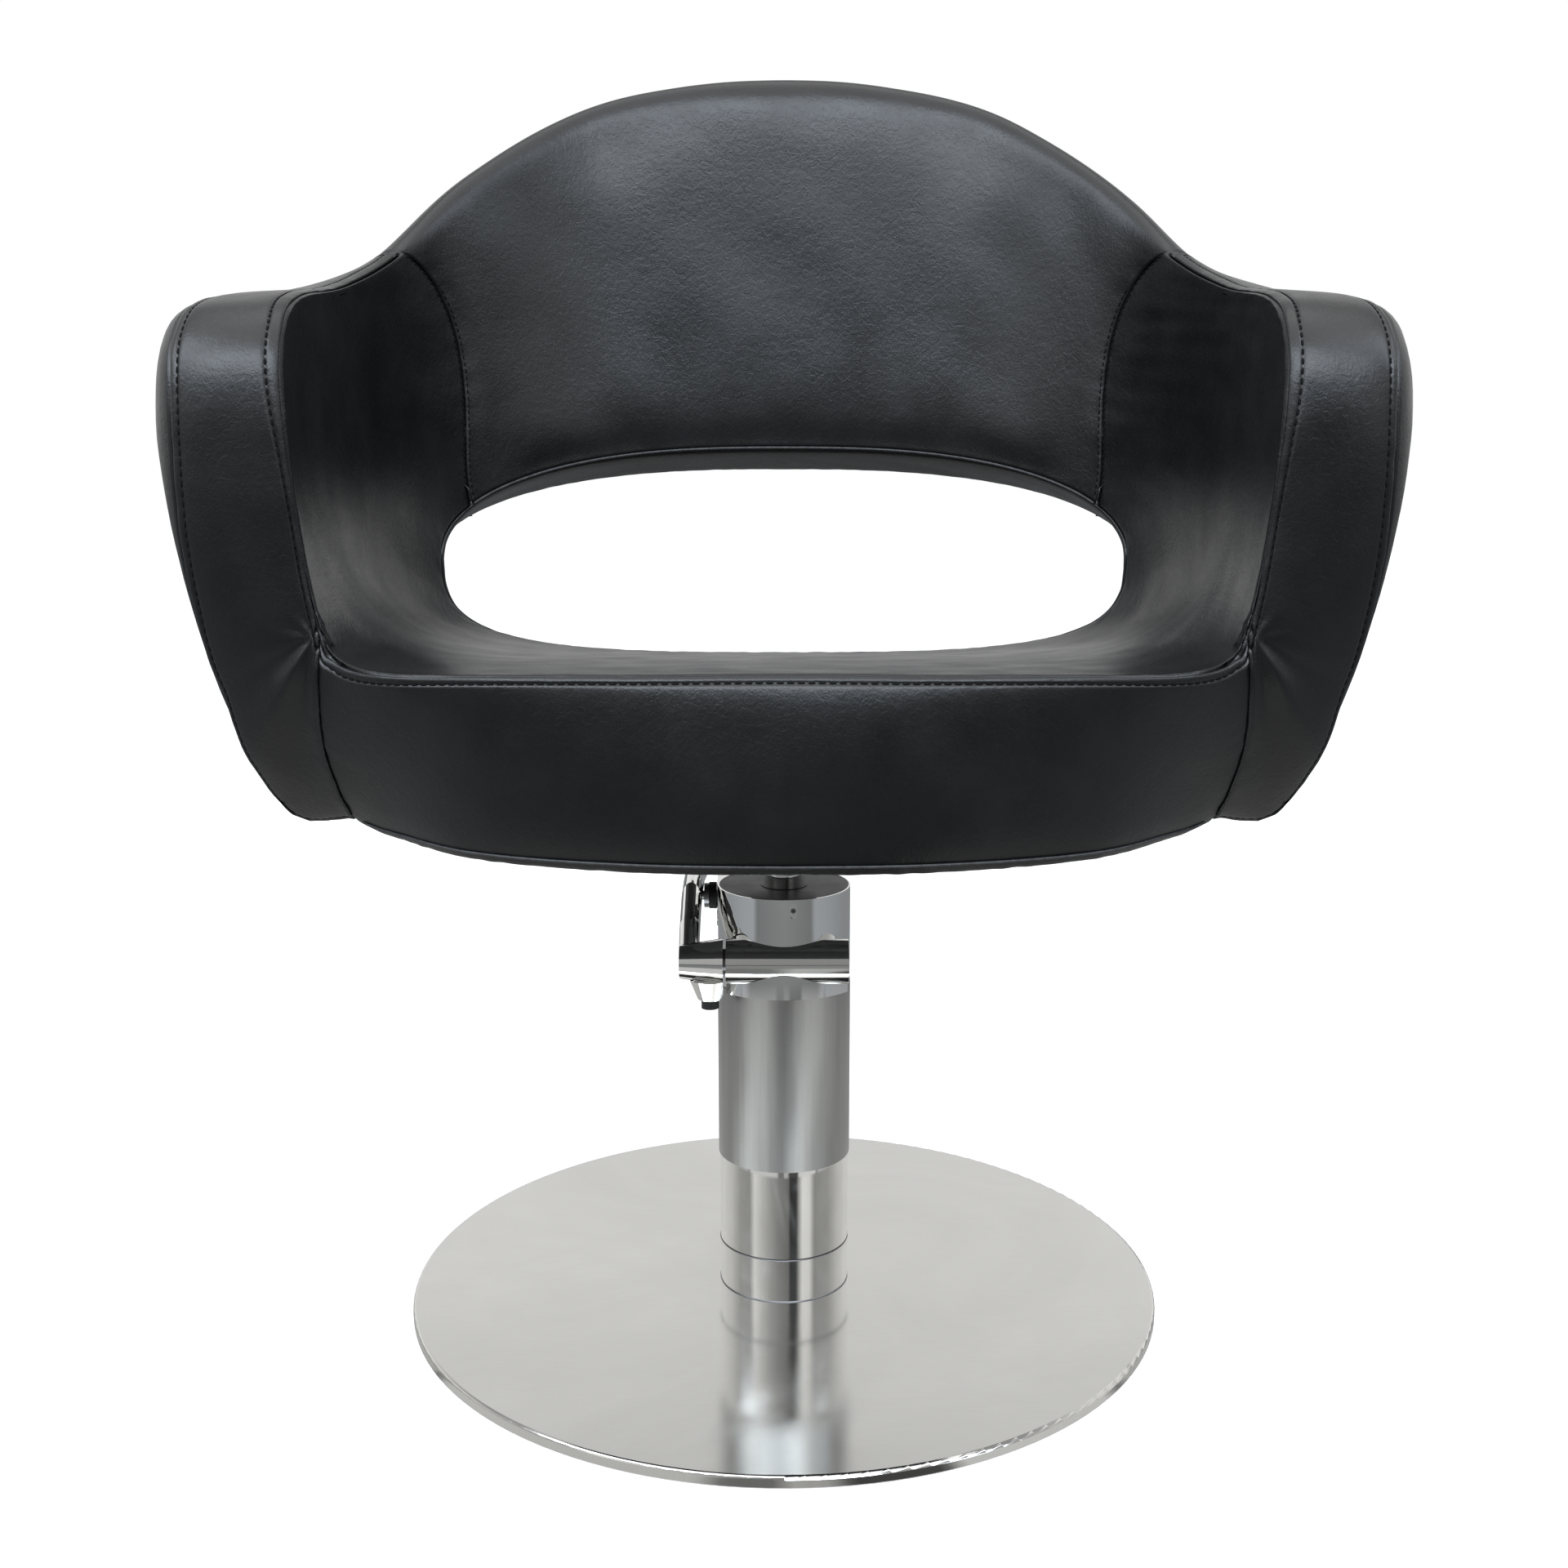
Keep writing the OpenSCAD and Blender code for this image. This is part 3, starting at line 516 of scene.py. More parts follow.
def spread(lengths, start, end, step):
    """Distances of nodes along lines of these lengths, close together by sewn edges."""
    start, end = np.array(start, float), np.array(end, float)
    count = max(3, round((lengths.max() - start[-1] - end[-1]) / step))
    room = np.minimum(1, 0.85 * lengths / max(start[-1] + end[-1], 1))[:, None]
    lo, hi = room * start[-1], lengths[:, None] - room * end[-1]
    middle = lo + (hi - lo) * np.linspace(0, 1, count + 1)[None, 1:-1]
    return np.hstack([room * start, middle, lengths[:, None] - room * end[::-1]])


def lengths_along(points, axis):
    """Distance of each node from the first one along an axis of a grid."""
    gaps = np.linalg.norm(np.diff(points, axis=axis), axis=-1)
    zero = np.zeros_like(gaps.take([0], axis=axis))
    return np.concatenate([zero, np.cumsum(gaps, axis=axis)], axis=axis)


def relaxed(points, passes):
    """Smooth the inside of a grid along both its directions, keeping the spacing of nodes."""
    for turn in range(2 * passes):
        if turn % 2:
            points = points.transpose(1, 0, 2)
        gaps = np.linalg.norm(np.diff(points, axis=1), axis=-1)[..., None] + 1e-6
        left, right = gaps[:, :-1], gaps[:, 1:]
        middle = (points[:, :-2] * right + points[:, 2:] * left) / (left + right)
        points = points.copy()
        points[1:-1, 1:-1] += 0.6 * (middle - points[:, 1:-1])[1:-1]
        if turn % 2:
            points = points.transpose(1, 0, 2)
    return points


def normals_of(points, looped=False):
    """Unit normals of a grid, which may close on itself along its first axis."""
    if looped:
        padded = np.concatenate([points[-2:-1], points, points[1:2]])
        along = padded[2:] - padded[:-2]
    else:
        along = np.gradient(points, axis=0)
    across = np.gradient(points, axis=1)
    normal = np.cross(along, across)
    return normal / (np.linalg.norm(normal, axis=-1, keepdims=True) + 1e-12)


def ripple(seed, x, y, size):
    """Smooth repeatable unevenness, about -1 to 1, with features of this size."""
    rng = np.random.default_rng(seed)
    total = np.zeros_like(x)
    for _ in range(7):
        a, f, phase = rng.uniform(0, 2 * np.pi), rng.uniform(0.6, 1.5) / size, rng.uniform(0, 6.3)
        total += np.sin(2 * np.pi * f * (x * np.cos(a) + y * np.sin(a)) + phase)
    return total / 4


CORNER = np.array([-283, -193, 513.0])
# Folds out of the corner: height, direction and width in degrees
FOLDS = ((3.8, -124, 11), (-2.4, -148, 12), (-1.2, -103, 7))
FOLD_REACH = 38
# Small gathers round it: height, how many in a turn, phase in degrees, reach, smooth middle
GATHER_HEIGHT, GATHER_COUNT, GATHER_PHASE, GATHER_REACH, GATHER_MIDDLE = 1.5, 8, 40, 11, 4


def gathers(points):
    """Folds that run out of the corner where arm, seat and front cushion are gathered."""
    offset = points * np.where(points[..., :1] > 0, -1, 1) * [1, 0, 0] + points * [0, 1, 1]
    offset = offset - CORNER
    reach = np.linalg.norm(offset, axis=-1)
    angle = np.degrees(np.arctan2(offset[..., 2], offset[..., 0]))
    small = GATHER_HEIGHT * np.cos(np.radians(angle * GATHER_COUNT + GATHER_PHASE))
    small = small * np.exp(-reach / GATHER_REACH) * (1 - np.exp(-((reach / GATHER_MIDDLE) ** 2)))
    grow = (reach / FOLD_REACH) * np.exp(1 - reach / FOLD_REACH)
    folds = sum(height * np.exp(-(((angle - direction) / wide) ** 2))
                for height, direction, wide in FOLDS)
    return small + grow * folds


def shell_faces(na, nb, looped):
    """Faces of a closed shell: a front grid, a back grid after it, and the border walls."""
    columns = na if looped else na - 1
    i, j = np.meshgrid(np.arange(columns), np.arange(nb - 1), indexing="ij")
    k = (i + 1) % na if looped else i + 1
    a, b, c, d = (q.ravel() for q in (i * nb + j, k * nb + j, k * nb + j + 1, i * nb + j + 1))
    front = np.stack([a, b, c, d], 1)
    back = np.stack([d, c, b, a], 1) + na * nb

    def wall(line, after):
        return np.stack([after, line, line + na * nb, after + na * nb], 1)

    m, n = np.arange(columns), np.arange(nb - 1)
    mk = (m + 1) % na if looped else m + 1
    walls = [wall(m * nb, mk * nb), wall(mk * nb + nb - 1, m * nb + nb - 1)]
    if not looped:
        walls += [wall(n + 1, n), wall((na - 1) * nb + n, (na - 1) * nb + n + 1)]
    return np.vstack([front, back, *walls])


def mesh_object(name, points, faces, material):
    """An object from points in mm."""
    mesh = bpy.data.meshes.new(name)
    mesh.from_pydata(np.asarray(points, float) * MM, [], faces)
    mesh.update()
    mesh.shade_smooth()
    mesh.materials.append(material)
    obj = bpy.data.objects.new(name, mesh)
    scene.collection.objects.link(obj)
    return obj


def resample(grid, x, y):
    """Catmull-Rom values of a coarse grid at index positions x, y."""
    def weights(p, n):
        i = np.clip(np.floor(p).astype(int), 0, n - 2)
        t = p - i
        w = [-t / 2 + t**2 - t**3 / 2, 1 - 2.5 * t**2 + 1.5 * t**3,
             t / 2 + 2 * t**2 - 1.5 * t**3, -t**2 / 2 + t**3 / 2]
        return [(np.clip(i + k - 1, 0, n - 1), w[k]) for k in range(4)]

    total = 0
    for i, wi in weights(x, grid.shape[0]):
        for j, wj in weights(y, grid.shape[1]):
            total = total + grid[i, j] * (wi * wj)[..., None]
    return total


CLOTH_THICK = 8.0
CLOTH_FRAMES = 20
CLOTH = {"quality": 4, "mass": 0.35, "tension_stiffness": 14, "compression_stiffness": 14,
         "shear_stiffness": 8, "bending_stiffness": 6, "use_pressure": True,
         "uniform_pressure_force": 4, "vertex_group_mass": "hold"}
MOST_SINK = 0.5


def swelled(name, front, normal, cap, looped):
    """How far a padded panel's front rises when its cover is blown up with cloth."""
    na, nb = front.shape[:2]
    back = front - normal * CLOTH_THICK
    points = np.concatenate([front.reshape(-1, 3), back.reshape(-1, 3)])
    obj = mesh_object(name + "_cloth", points, shell_faces(na, nb, looped), LEATHER)
    hold = obj.vertex_groups.new(name="hold")
    inside = np.zeros((na, nb), bool)
    inside[(slice(None) if looped else slice(1, -1)), 1:-1] = True
    held = np.concatenate([np.flatnonzero(~inside.ravel()), np.arange(na * nb, 2 * na * nb)])
    hold.add([int(v) for v in held], 1.0, "REPLACE")
    cloth = obj.modifiers.new("cloth", "CLOTH")
    for key, value in CLOTH.items():
        setattr(cloth.settings, key, value)
    cloth.settings.effector_weights.gravity = 0
    for number in range(1, CLOTH_FRAMES + 1):
        scene.frame_set(number)
    final = obj.evaluated_get(bpy.context.evaluated_depsgraph_get()).to_mesh()
    moved = np.zeros(len(final.vertices) * 3)
    final.vertices.foreach_get("co", moved)
    moved = moved.reshape(-1, 3)[:na * nb].reshape(na, nb, 3) / MM - front
    scene.frame_set(1)
    data = obj.data
    bpy.data.objects.remove(obj)
    bpy.data.meshes.remove(data)
    rise = np.clip((moved * normal).sum(-1), -MOST_SINK, cap)
    for _ in range(6):
        rise[1:-1] += 0.25 * (rise[:-2] + rise[2:] - 2 * rise[1:-1])
        rise[:, 1:-1] += 0.25 * (rise[:, :-2] + rise[:, 2:] - 2 * rise[:, 1:-1])
    return rise


COARSE_STEP = 11
UNEVENNESS, UNEVEN_SIZE, CALM_BORDER = 0.45, 85, 20
PUCKER, PUCKER_SIZE, PUCKER_REACH = 0.30, 17, 8
THREAD_GROOVE, GROOVE_WIDTH = 1.0, 1.3
BORDER_THICK, THICKENS_OVER = 1.2, 9


class Panel:
    """One sewn piece of the cover, as a closed padded shell over a grid of two shares.

    point gives the surface for shares a (along) and t (across). towards is a place the front
    looks at, or away from where sign is -1. cap is the most the cloth may rise, and 0 leaves
    the cloth out. steady is how many rows by the first border take their normal from inside.
    """

    def __init__(self, name, point, towards, along_edges, across_edges, step=4.0, thick=10.0,
                 looped=False, seed=1, sign=1, smooth=0, cap=5.0, gathered=False, steady=0):
        self.name, self.looped = name, looped
        shares = np.linspace(0, 1, 161)
        line = point(shares, np.full_like(shares, 0.5))
        reach = lengths_along(line[:, None, :], 0)[:, 0]
        at = spread(np.array([reach[-1]]), along_edges[0][0], along_edges[1][0], step)[0]
        a = np.interp(at, reach, shares)
        a[0], a[-1] = 0, 1
        shares = np.linspace(0, 1, 241)
        dense = point(np.repeat(a[:, None], len(shares), 1), np.repeat(shares[None], len(a), 0))
        reach = lengths_along(dense, 1)
        at = spread(reach[:, -1], across_edges[0][0], across_edges[1][0], step)
        b = np.stack([np.interp(at[i], reach[i], shares) for i in range(len(a))])
        a = np.repeat(a[:, None], b.shape[1], 1)
        base = relaxed(point(a, b), smooth)
        normal = normals_of(base, looped)
        turn = np.sign(((np.array(towards, float) - base) * normal).sum(-1).mean()) * sign
        self.reverse = turn < 0
        normal = normal * turn
        along, across = lengths_along(base, 0), lengths_along(base, 1)
        edges = [across, across[:, -1:] - across]
        kinds = list(across_edges)
        if not looped:
            edges += [along, along[-1:] - along]
            kinds += list(along_edges)
        near = np.min(edges, axis=0)
        if cap:
            na, nb = a.shape
            ca = max(8, round(along[-1].mean() / COARSE_STEP))
            cb = max(6, round(across[:, -1].mean() / COARSE_STEP))
            share = across / across[:, -1:]
            rows = np.floor(np.linspace(0, na - 1, ca)).astype(int)
            coarse = np.stack([np.stack([
                np.interp(np.linspace(0, 1, cb), share[k], base[k, :, axis])
                for axis in range(3)], -1) for k in rows])
            blown = swelled(name, coarse, normals_of(coarse, looped) * turn, cap, looped)
            x = np.interp(np.arange(na), rows.astype(float), np.arange(ca))
            rise = resample(blown[..., None], np.repeat(x[:, None], nb, 1), share * (cb - 1))
            base = base + normal * rise * (1 - np.exp(-(near / 12) ** 2))[..., None]
        normal[:, :steady] = normal[:, steady:steady + 1]
        height = (UNEVENNESS * ripple(seed, along, across, UNEVEN_SIZE)
                  * (1 - np.exp(-near / CALM_BORDER)))
        if gathered:
            height = height + gathers(base)
        for distance, kind in zip(edges, kinds):
            if kind is FREE:
                continue
            run = along if distance is edges[0] or distance is edges[1] else across
            inside = np.clip(TURN_RADIUS - distance, 0, TURN_RADIUS)
            height = height - (TURN_RADIUS - np.sqrt(np.maximum(TURN_RADIUS**2 - inside**2, 0)))
            pucker = PUCKER * ripple(seed + 5, run, distance * 0.15, PUCKER_SIZE)
            pucker = pucker * np.exp(-distance / PUCKER_REACH)
            height = height + pucker * np.clip(distance / 2, 0, 1)
            if kind[1]:
                groove = np.exp(-(((distance - kind[1]) / GROOVE_WIDTH) ** 2))
                height = height - THREAD_GROOVE * groove
        self.front = base + normal * height[..., None]
        self.normal, self.along, self.across = normal, along, across
        self.height, self.base = height, base
        self.thick = BORDER_THICK + (thick - BORDER_THICK) * (1 - np.exp(-near / THICKENS_OVER))

    def build(self, material):
        """The panel's closed mesh."""
        rows = slice(None, -1) if self.looped else slice(None)
        front, normal, thick, height = (
            grid[rows] for grid in (self.front, self.normal, self.thick, self.height))
        back = front - normal * (thick + np.maximum(height, 0))[..., None]
        faces = shell_faces(*front.shape[:2], self.looped)
        if self.reverse:
            faces = faces[:, ::-1]
        points = np.concatenate([front.reshape(-1, 3), back.reshape(-1, 3)])
        return mesh_object(self.name, points, faces, material)

    def line(self, distance, end=0, by="across"):
        """Points and normals of the front at this distance from one border."""
        reach = self.across if by == "across" else self.along.T
        points, normal = self.front, self.normal
        if by != "across":
            points, normal = points.transpose(1, 0, 2), normal.transpose(1, 0, 2)
        found = []
        for grid in (points, normal):
            found.append(np.array([[
                np.interp(row[-1] - distance if end else distance, row, grid[i, :, k])
                for k in range(3)] for i, row in enumerate(reach)]))
        return found


def stitches(name, runs, length=4.2, width=1.45, height=1.0, lift=0.25, pitch=PITCH):
    """A row of sewn stitches along each run of points and normals, as one mesh."""
    rings, sides = 5, 8
    t = np.linspace(-1, 1, rings)
    angle = np.linspace(0, 2 * np.pi, sides, endpoint=False)
    fat = np.sqrt(np.clip(1 - (np.abs(t) * 0.985) ** 4, 0, 1))
    unit = np.stack([np.repeat(t[:, None] * length / 2, sides, 1),
                     fat[:, None] * np.cos(angle) * width / 2,
                     fat[:, None] * np.sin(angle) * height / 2], -1).reshape(-1, 3)
    i, j = np.meshgrid(np.arange(rings - 1), np.arange(sides), indexing="ij")
    k = (j + 1) % sides
    quads = np.stack([i * sides + j, i * sides + k, (i + 1) * sides + k, (i + 1) * sides + j],
                     -1).reshape(-1, 4)
    caps = [list(range(sides))[::-1], [(rings - 1) * sides + m for m in range(sides)]]
    points, faces, base = [], [], 0
    for line, normal in runs:
        reach = lengths_along(line[:, None, :], 0)[:, 0]

        def at(distance, row):
            return np.array([np.interp(distance, reach, row[:, m]) for m in range(3)])

        for c in np.arange(pitch / 2, reach[-1], pitch):
            p, up = at(c, line), at(c, normal)
            x = at(c + length / 2, line) - at(c - length / 2, line)
            if np.linalg.norm(x) < length * 0.4:
                continue
            x /= np.linalg.norm(x)
            up = up - x * (up @ x)
            up /= np.linalg.norm(up) + 1e-9
            side = np.cross(up, x)
            points.append(p + up * lift + unit @ np.stack([x, side, up]))
            faces.extend((quads + base).tolist())
            faces.extend([[v + base for v in cap] for cap in caps])
            base += len(unit)
    return mesh_object(name, np.concatenate(points), faces, THREAD)


def tube(name, line, radius, material, sides=12):
    """A closed round cord along a line, with rounded ends."""
    tangent = np.gradient(line, axis=0)
    tangent /= np.linalg.norm(tangent, axis=1, keepdims=True)
    side = np.cross(tangent, np.array([0, 0, 1.0]))
    side /= np.linalg.norm(side, axis=1, keepdims=True)
    up = np.cross(side, tangent)
    angle = np.linspace(0, 2 * np.pi, sides, endpoint=False)
    size = radius * np.sqrt(np.clip(1 - np.abs(np.linspace(-1, 1, len(line))) ** 60, 0.02, 1))
    ring = (side[:, None] * np.cos(angle)[None, :, None]
            + up[:, None] * np.sin(angle)[None, :, None])
    points = (line[:, None] + ring * size[:, None, None]).reshape(-1, 3)
    n = len(line)
    i, j = np.meshgrid(np.arange(n - 1), np.arange(sides), indexing="ij")
    k = (j + 1) % sides
    faces = np.stack([i * sides + j, (i + 1) * sides + j, (i + 1) * sides + k, i * sides + k],
                     -1).reshape(-1, 4).tolist()
    faces += [list(range(sides)), [(n - 1) * sides + m for m in range(sides)][::-1]]
    return mesh_object(name, points, faces, material)


# ------------------------------------------------------------------ where the seams run
def back_seam(s):
    """Step of the seam between back and arm panels at share s of the way down."""
    return 2.95 - 1.5 * s + 2.75 * s**2


TIP = 3.0  # step of the arm's rear end, where band, back and outer panels meet
# Course of the corner seam: shares across the rim, and the step at each
CORNER_V = [0, 0.045, 0.10, 0.235, 0.39, 0.535, 0.63, 0.85, 1]
CORNER_U = [8.95, 9.2, 9.85, 10.38, 10.92, 11.22, 11.38, 11.62, 11.72]
CORNER_STEPS = np.interp(np.linspace(0, 1, 101), CORNER_V, CORNER_U)
for _ in range(10):
    CORNER_STEPS[1:-1] = (CORNER_STEPS[:-2] + CORNER_STEPS[1:-1] + CORNER_STEPS[2:]) / 3


def corner_seam(v):
    """Step of the seam between arm band and front cushion at share v across the rim."""
    return np.interp(v, np.linspace(0, 1, 101), CORNER_STEPS)


# Shares of the back panel that lie on the tub's inside and on the rim
BACK_SHARE, BACK_RIM_SHARE = 0.72, 0.28
# Step at the arm's rear where the outer panels meet, and its drift over the way down
OUTER_SEAM, OUTER_DRIFT = TIP + 0.05, 0.75
OUTER_SIDE_END, UNDER_END = 10.6, 10.62


def back_point(a, t):
    x = 2 * a - 1
    s = np.clip(LINING_START * (1 - t / BACK_SHARE), 0, 1)
    v = np.clip((t - BACK_SHARE) / BACK_RIM_SHARE, 0, 1)
    on_inner = sided(x, inner(np.abs(x) * back_seam(s), s))
    on_rim = sided(x, rim(np.abs(x) * (back_seam(0) + 0.05 * v), v))
    return np.where((t < BACK_SHARE)[..., None], on_inner, on_rim)


def seat_point(a, t):
    x = 2 * a - 1
    s = LINING_START * (1 - t)
    return sided(x, inner(STEPS - np.abs(x) * (STEPS - back_seam(s)), s))


def band_point(a, t):
    u = TIP + (CORNER_U[0] - TIP) * a + (corner_seam(t) - CORNER_U[0]) * a**6
    return rim(u, t)


def front_point(a, t):
    x = 2 * a - 1
    return sided(x, rim(STEPS - (STEPS - corner_seam(t)) * np.abs(x), t))


def outer_side_point(a, t):
    s = LINING_START * t
    start = OUTER_SEAM + OUTER_DRIFT * s
    return outer(start + (OUTER_SIDE_END - start) * a, s)


def outer_back_point(a, t):
    x = 2 * a - 1
    s = LINING_START * t
    return sided(x, outer(np.abs(x) * (OUTER_SEAM + OUTER_DRIFT * s), s))


def under_point(a, t):
    x = 2 * a - 1
    return sided(x, outer(STEPS - np.abs(x) * (STEPS - UNDER_END), LINING_START * t))


def lining_point(a, t):
    u = 2 * STEPS * a
    x = np.where(u > STEPS, 1, -1)
    u = np.where(u > STEPS, 2 * STEPS - u, u)

    def across_wall(s):
        s = s * np.ones_like(t)
        return inner(u, s) * (1 - t)[..., None] + outer(u, s) * t[..., None]

    near, far = across_wall(LINING_START), across_wall(1)
    push = np.sqrt(np.clip(1 - np.abs(2 * t - 1) ** 7, 0, 1))[..., None]
    return sided(x, near + (far - near) * push)


def mirrored(point):
    return lambda a, t: point(a, t) * FLIP_X


SITTER = (0, -60, 700)
TUB_BACK = (0, 60, 560)
FRONT_BEHIND = (0, 100, 440)
BAND_BEHIND = (325, 60, 560)
OPENING_MIDDLE = (0, 190, 528)
PLAIN = (SEAM, SEAM)
panels = {}


def sew(name, point, towards, replaced, along_edges=PLAIN, across_edges=PLAIN,
        slot_name="black_leather", material=LEATHER, **options):
    """Build one panel in place of the CAD nodes it covers."""
    panel = Panel(name, point, towards, along_edges, across_edges, **options)
    piece = panel.build(material)
    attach(piece, "seat")
    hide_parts(*replaced)
    panels[name] = panel


sew("back_cushion", back_point, SITTER, ["back_pad", "back_roll"], thick=14, smooth=8, seed=3)
sew("seat_and_arm_cushion", seat_point, SITTER, ["seat_pad", "arm_pad_left", "arm_pad_right"],
    thick=14, smooth=45, seed=8, gathered=True, steady=9)
sew("front_cushion", front_point, FRONT_BEHIND, ["front_pad"], across_edges=(STITCHED, SEAM),
    thick=16, smooth=4, seed=12, sign=-1, step=3.2)
for side, place, sign_x in (("right", lambda point: point, -1), ("left", mirrored, 1)):
    sew("arm_band_cushion_" + side, place(band_point),
        (sign_x * BAND_BEHIND[0], *BAND_BEHIND[1:]), ["arm_band_" + side], (STITCHED, SEAM),
        (WIDE_STITCHED, STITCHED), thick=12, seed=20 + sign_x, sign=-1, step=3.2, cap=3.0,
        smooth=4, gathered=True)
    sew("outer_side_" + side, place(outer_side_point), TUB_BACK, ["outer_cover_" + side],
        thick=4, seed=30 + sign_x, sign=-1, step=7, cap=2.5)
sew("outer_back", outer_back_point, TUB_BACK, ["outer_cover_back"], thick=4, seed=41, sign=-1,
    step=7, cap=2.5)
sew("under_panel", under_point, TUB_BACK, ["under_cover"], slot_name="dust_cloth",
    material=DUST_CLOTH, thick=3, seed=43, sign=-1, step=9, cap=0)
sew("opening_lining", lining_point, OPENING_MIDDLE, ["opening_liner"], (FREE, FREE), thick=3,
    seed=47, looped=True, step=4, cap=0)


# ------------------------------------------------------------------ thread and welts
SEAM_THREAD = 2.8  # distance of the back seam's stitches from the seam
WELT_STEPS = 3.2   # how many steps the front welt runs either way from the middle
WELT_AT = 0.94     # where it runs across the rim
# The last radius is that of the dark rings at the column's joints, which are painted shade for
# the joint gaps
FRONT_WELT, OPENING_WELT, CORNER_PIPING, JOINT_SHADE_RADIUS = 0.9, 1.0, 1.5, 0.45  # radii


def rows_of(name, distance, end=0, by="across", trim=(0, 0)):
    """The line at a distance from one border, less its first and last millimetres."""
    line, normal = panels[name].line(distance, end, by)
    reach = lengths_along(line[:, None, :], 0)[:, 0]
    keep = (reach >= trim[0]) & (reach <= reach[-1] - trim[1])
    return line[keep], normal[keep]


def dress(piece):
    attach(piece, "seat")
    return piece


for side in ("right", "left"):
    band = "arm_band_cushion_" + side
    rows = [rows_of(band, WIDE_STITCHED[1], 0, trim=(7, 4)),
            rows_of(band, STITCHED[1], 1, trim=(7, 4)),
            rows_of(band, STITCHED[1], 0, "along", trim=(9.5, 7))]
    dress(stitches("arm_band_topstitch_" + side, rows))
dress(stitches("front_topstitch", [rows_of("front_cushion", STITCHED[1], 0, trim=(14, 14))]))
rows = [rows_of(panel, SEAM_THREAD, end, "along", trim=trim)
        for panel, trim in (("back_cushion", (6, 92)), ("seat_and_arm_cushion", (6, 4)))
        for end in (0, 1)]
dress(stitches("back_seam_stitches", rows, width=1.25, height=0.9, pitch=5.2, length=3.7))

across_front = np.linspace(-1, 1, 401)
welt_line = sided(across_front, rim(STEPS - np.abs(across_front) * WELT_STEPS,
                                    np.full_like(across_front, WELT_AT)))
front_welt = dress(tube("front_welt", welt_line + [0, -0.6, 0], FRONT_WELT, WELT))
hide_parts("front_piping")
top_line = panels["back_cushion"].base[5:-5, 0]
dress(tube("opening_welt", top_line + [0, -0.6, -0.2], OPENING_WELT, WELT))
down_corner = np.linspace(0.02, 0.93, 80)
for side, sign_x in (("right", 1), ("left", -1)):
    line = rim(corner_seam(down_corner), down_corner)
    line[:, 0] *= sign_x
    dress(tube("corner_piping_" + side, line + [0, -0.4, 0], CORNER_PIPING, LEATHER))

# Thin dark rings round the foot of the column at its joints: painted shade, standing in for the
# shadow in the joint gaps
around = np.linspace(0, 2 * np.pi, 145)
for name, height in (("collar_gap_shade", COLLAR_TOP), ("cover_gap_shade", COVER_TOP)):
    circle = np.stack([COLUMN_RADIUS * np.cos(around), COLUMN_RADIUS * np.sin(around),
                       np.full_like(around, height)], 1)
    painted_gap = tube(name, circle, JOINT_SHADE_RADIUS, STEEL, 8)
    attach(painted_gap, "base")


# ------------------------------------------------------------------ studio
def area_light(name, location, aim, size, watts, size_y=None, colour=(1, 1, 1)):
    data = bpy.data.lights.new(name, "AREA")
    data.color = colour
    data.shape = "RECTANGLE"
    data.size, data.size_y = size, size_y or size
    data.energy = watts
    obj = bpy.data.objects.new(name, data)
    obj.location = location
    obj.rotation_euler = (Vector(aim) - Vector(location)).to_track_quat("-Z", "Y").to_euler()
    scene.collection.objects.link(obj)


COOL = (0.82, 0.90, 1.0)
area_light("front_softbox", (-0.2, -2.5, 2.8), (0, 0.1, 0.75), 4.2, 192, 1.3, COOL)
area_light("left_softbox", (-2.0, -0.8, 2.3), (0, 0, 0.6), 1.2, 38, 1.6, COOL)
area_light("right_softbox", (2.0, -0.6, 2.3), (0, 0, 0.6), 1.2, 26, 1.6, COOL)
area_light("top_softbox", (0, 0.2, 3.0), (0, 0, 0.4), 2.4, 9)
GLOW_STRENGTH, GLOW_SPREAD = 1.5, 75
sky = bpy.data.lights.new("ceiling_glow", "SUN")
sky.energy = GLOW_STRENGTH
sky.angle = math.radians(GLOW_SPREAD)
scene.collection.objects.link(bpy.data.objects.new("ceiling_glow", sky))

# Surroundings by bearing in degrees: a white backdrop, bright strips and a dim room in front.
ROOM = [(-180, 0.85), (-140, 1.00), (-110, 0.85), (-85, 0.50), (-64, 0.45), (-54, 1.10),
        (-40, 0.75), (-24, 0.50), (-8, 0.34), (8, 0.24), (11, 0.04), (22, 0.04), (26, 0.40),
        (33, 1.15), (46, 1.10), (56, 0.42), (85, 0.48), (110, 0.80), (140, 1.00), (180, 0.85)]
BRIGHTEST = 1.3
OVERHEAD = 0.35
OVERHEAD_FROM, OVERHEAD_TO = 0.42, 0.72  # sines of the heights between which it fades in
world = bpy.data.worlds.new("studio")
sky_nodes = Tree(world)
background = sky_nodes.tree.nodes["Background"]
background.inputs["Color"].default_value = (1, 1, 1, 1)
parts = sky_nodes.split(sky_nodes.add("ShaderNodeTexCoord").outputs["Generated"])
room = sky_nodes.around(sky_nodes.bearing(parts), *[
    (degrees, [value / BRIGHTEST] * 3) for degrees, value in ROOM])
overhead = sky_nodes.ramp(parts["Z"], 0.0, 1.0, OVERHEAD_FROM, OVERHEAD_TO)
overhead.node.interpolation_type = "SMOOTHSTEP"
lit = sky_nodes.mix("ShaderNodeMix", overhead, sky_nodes.math("MULTIPLY", room, BRIGHTEST),
                    OVERHEAD)
seen = sky_nodes.add("ShaderNodeLightPath").outputs["Is Camera Ray"]
sky_nodes.link(sky_nodes.mix("ShaderNodeMix", seen, lit, 1.0), background.inputs["Strength"])
scene.world = world
scene.view_settings.view_transform = "Standard"

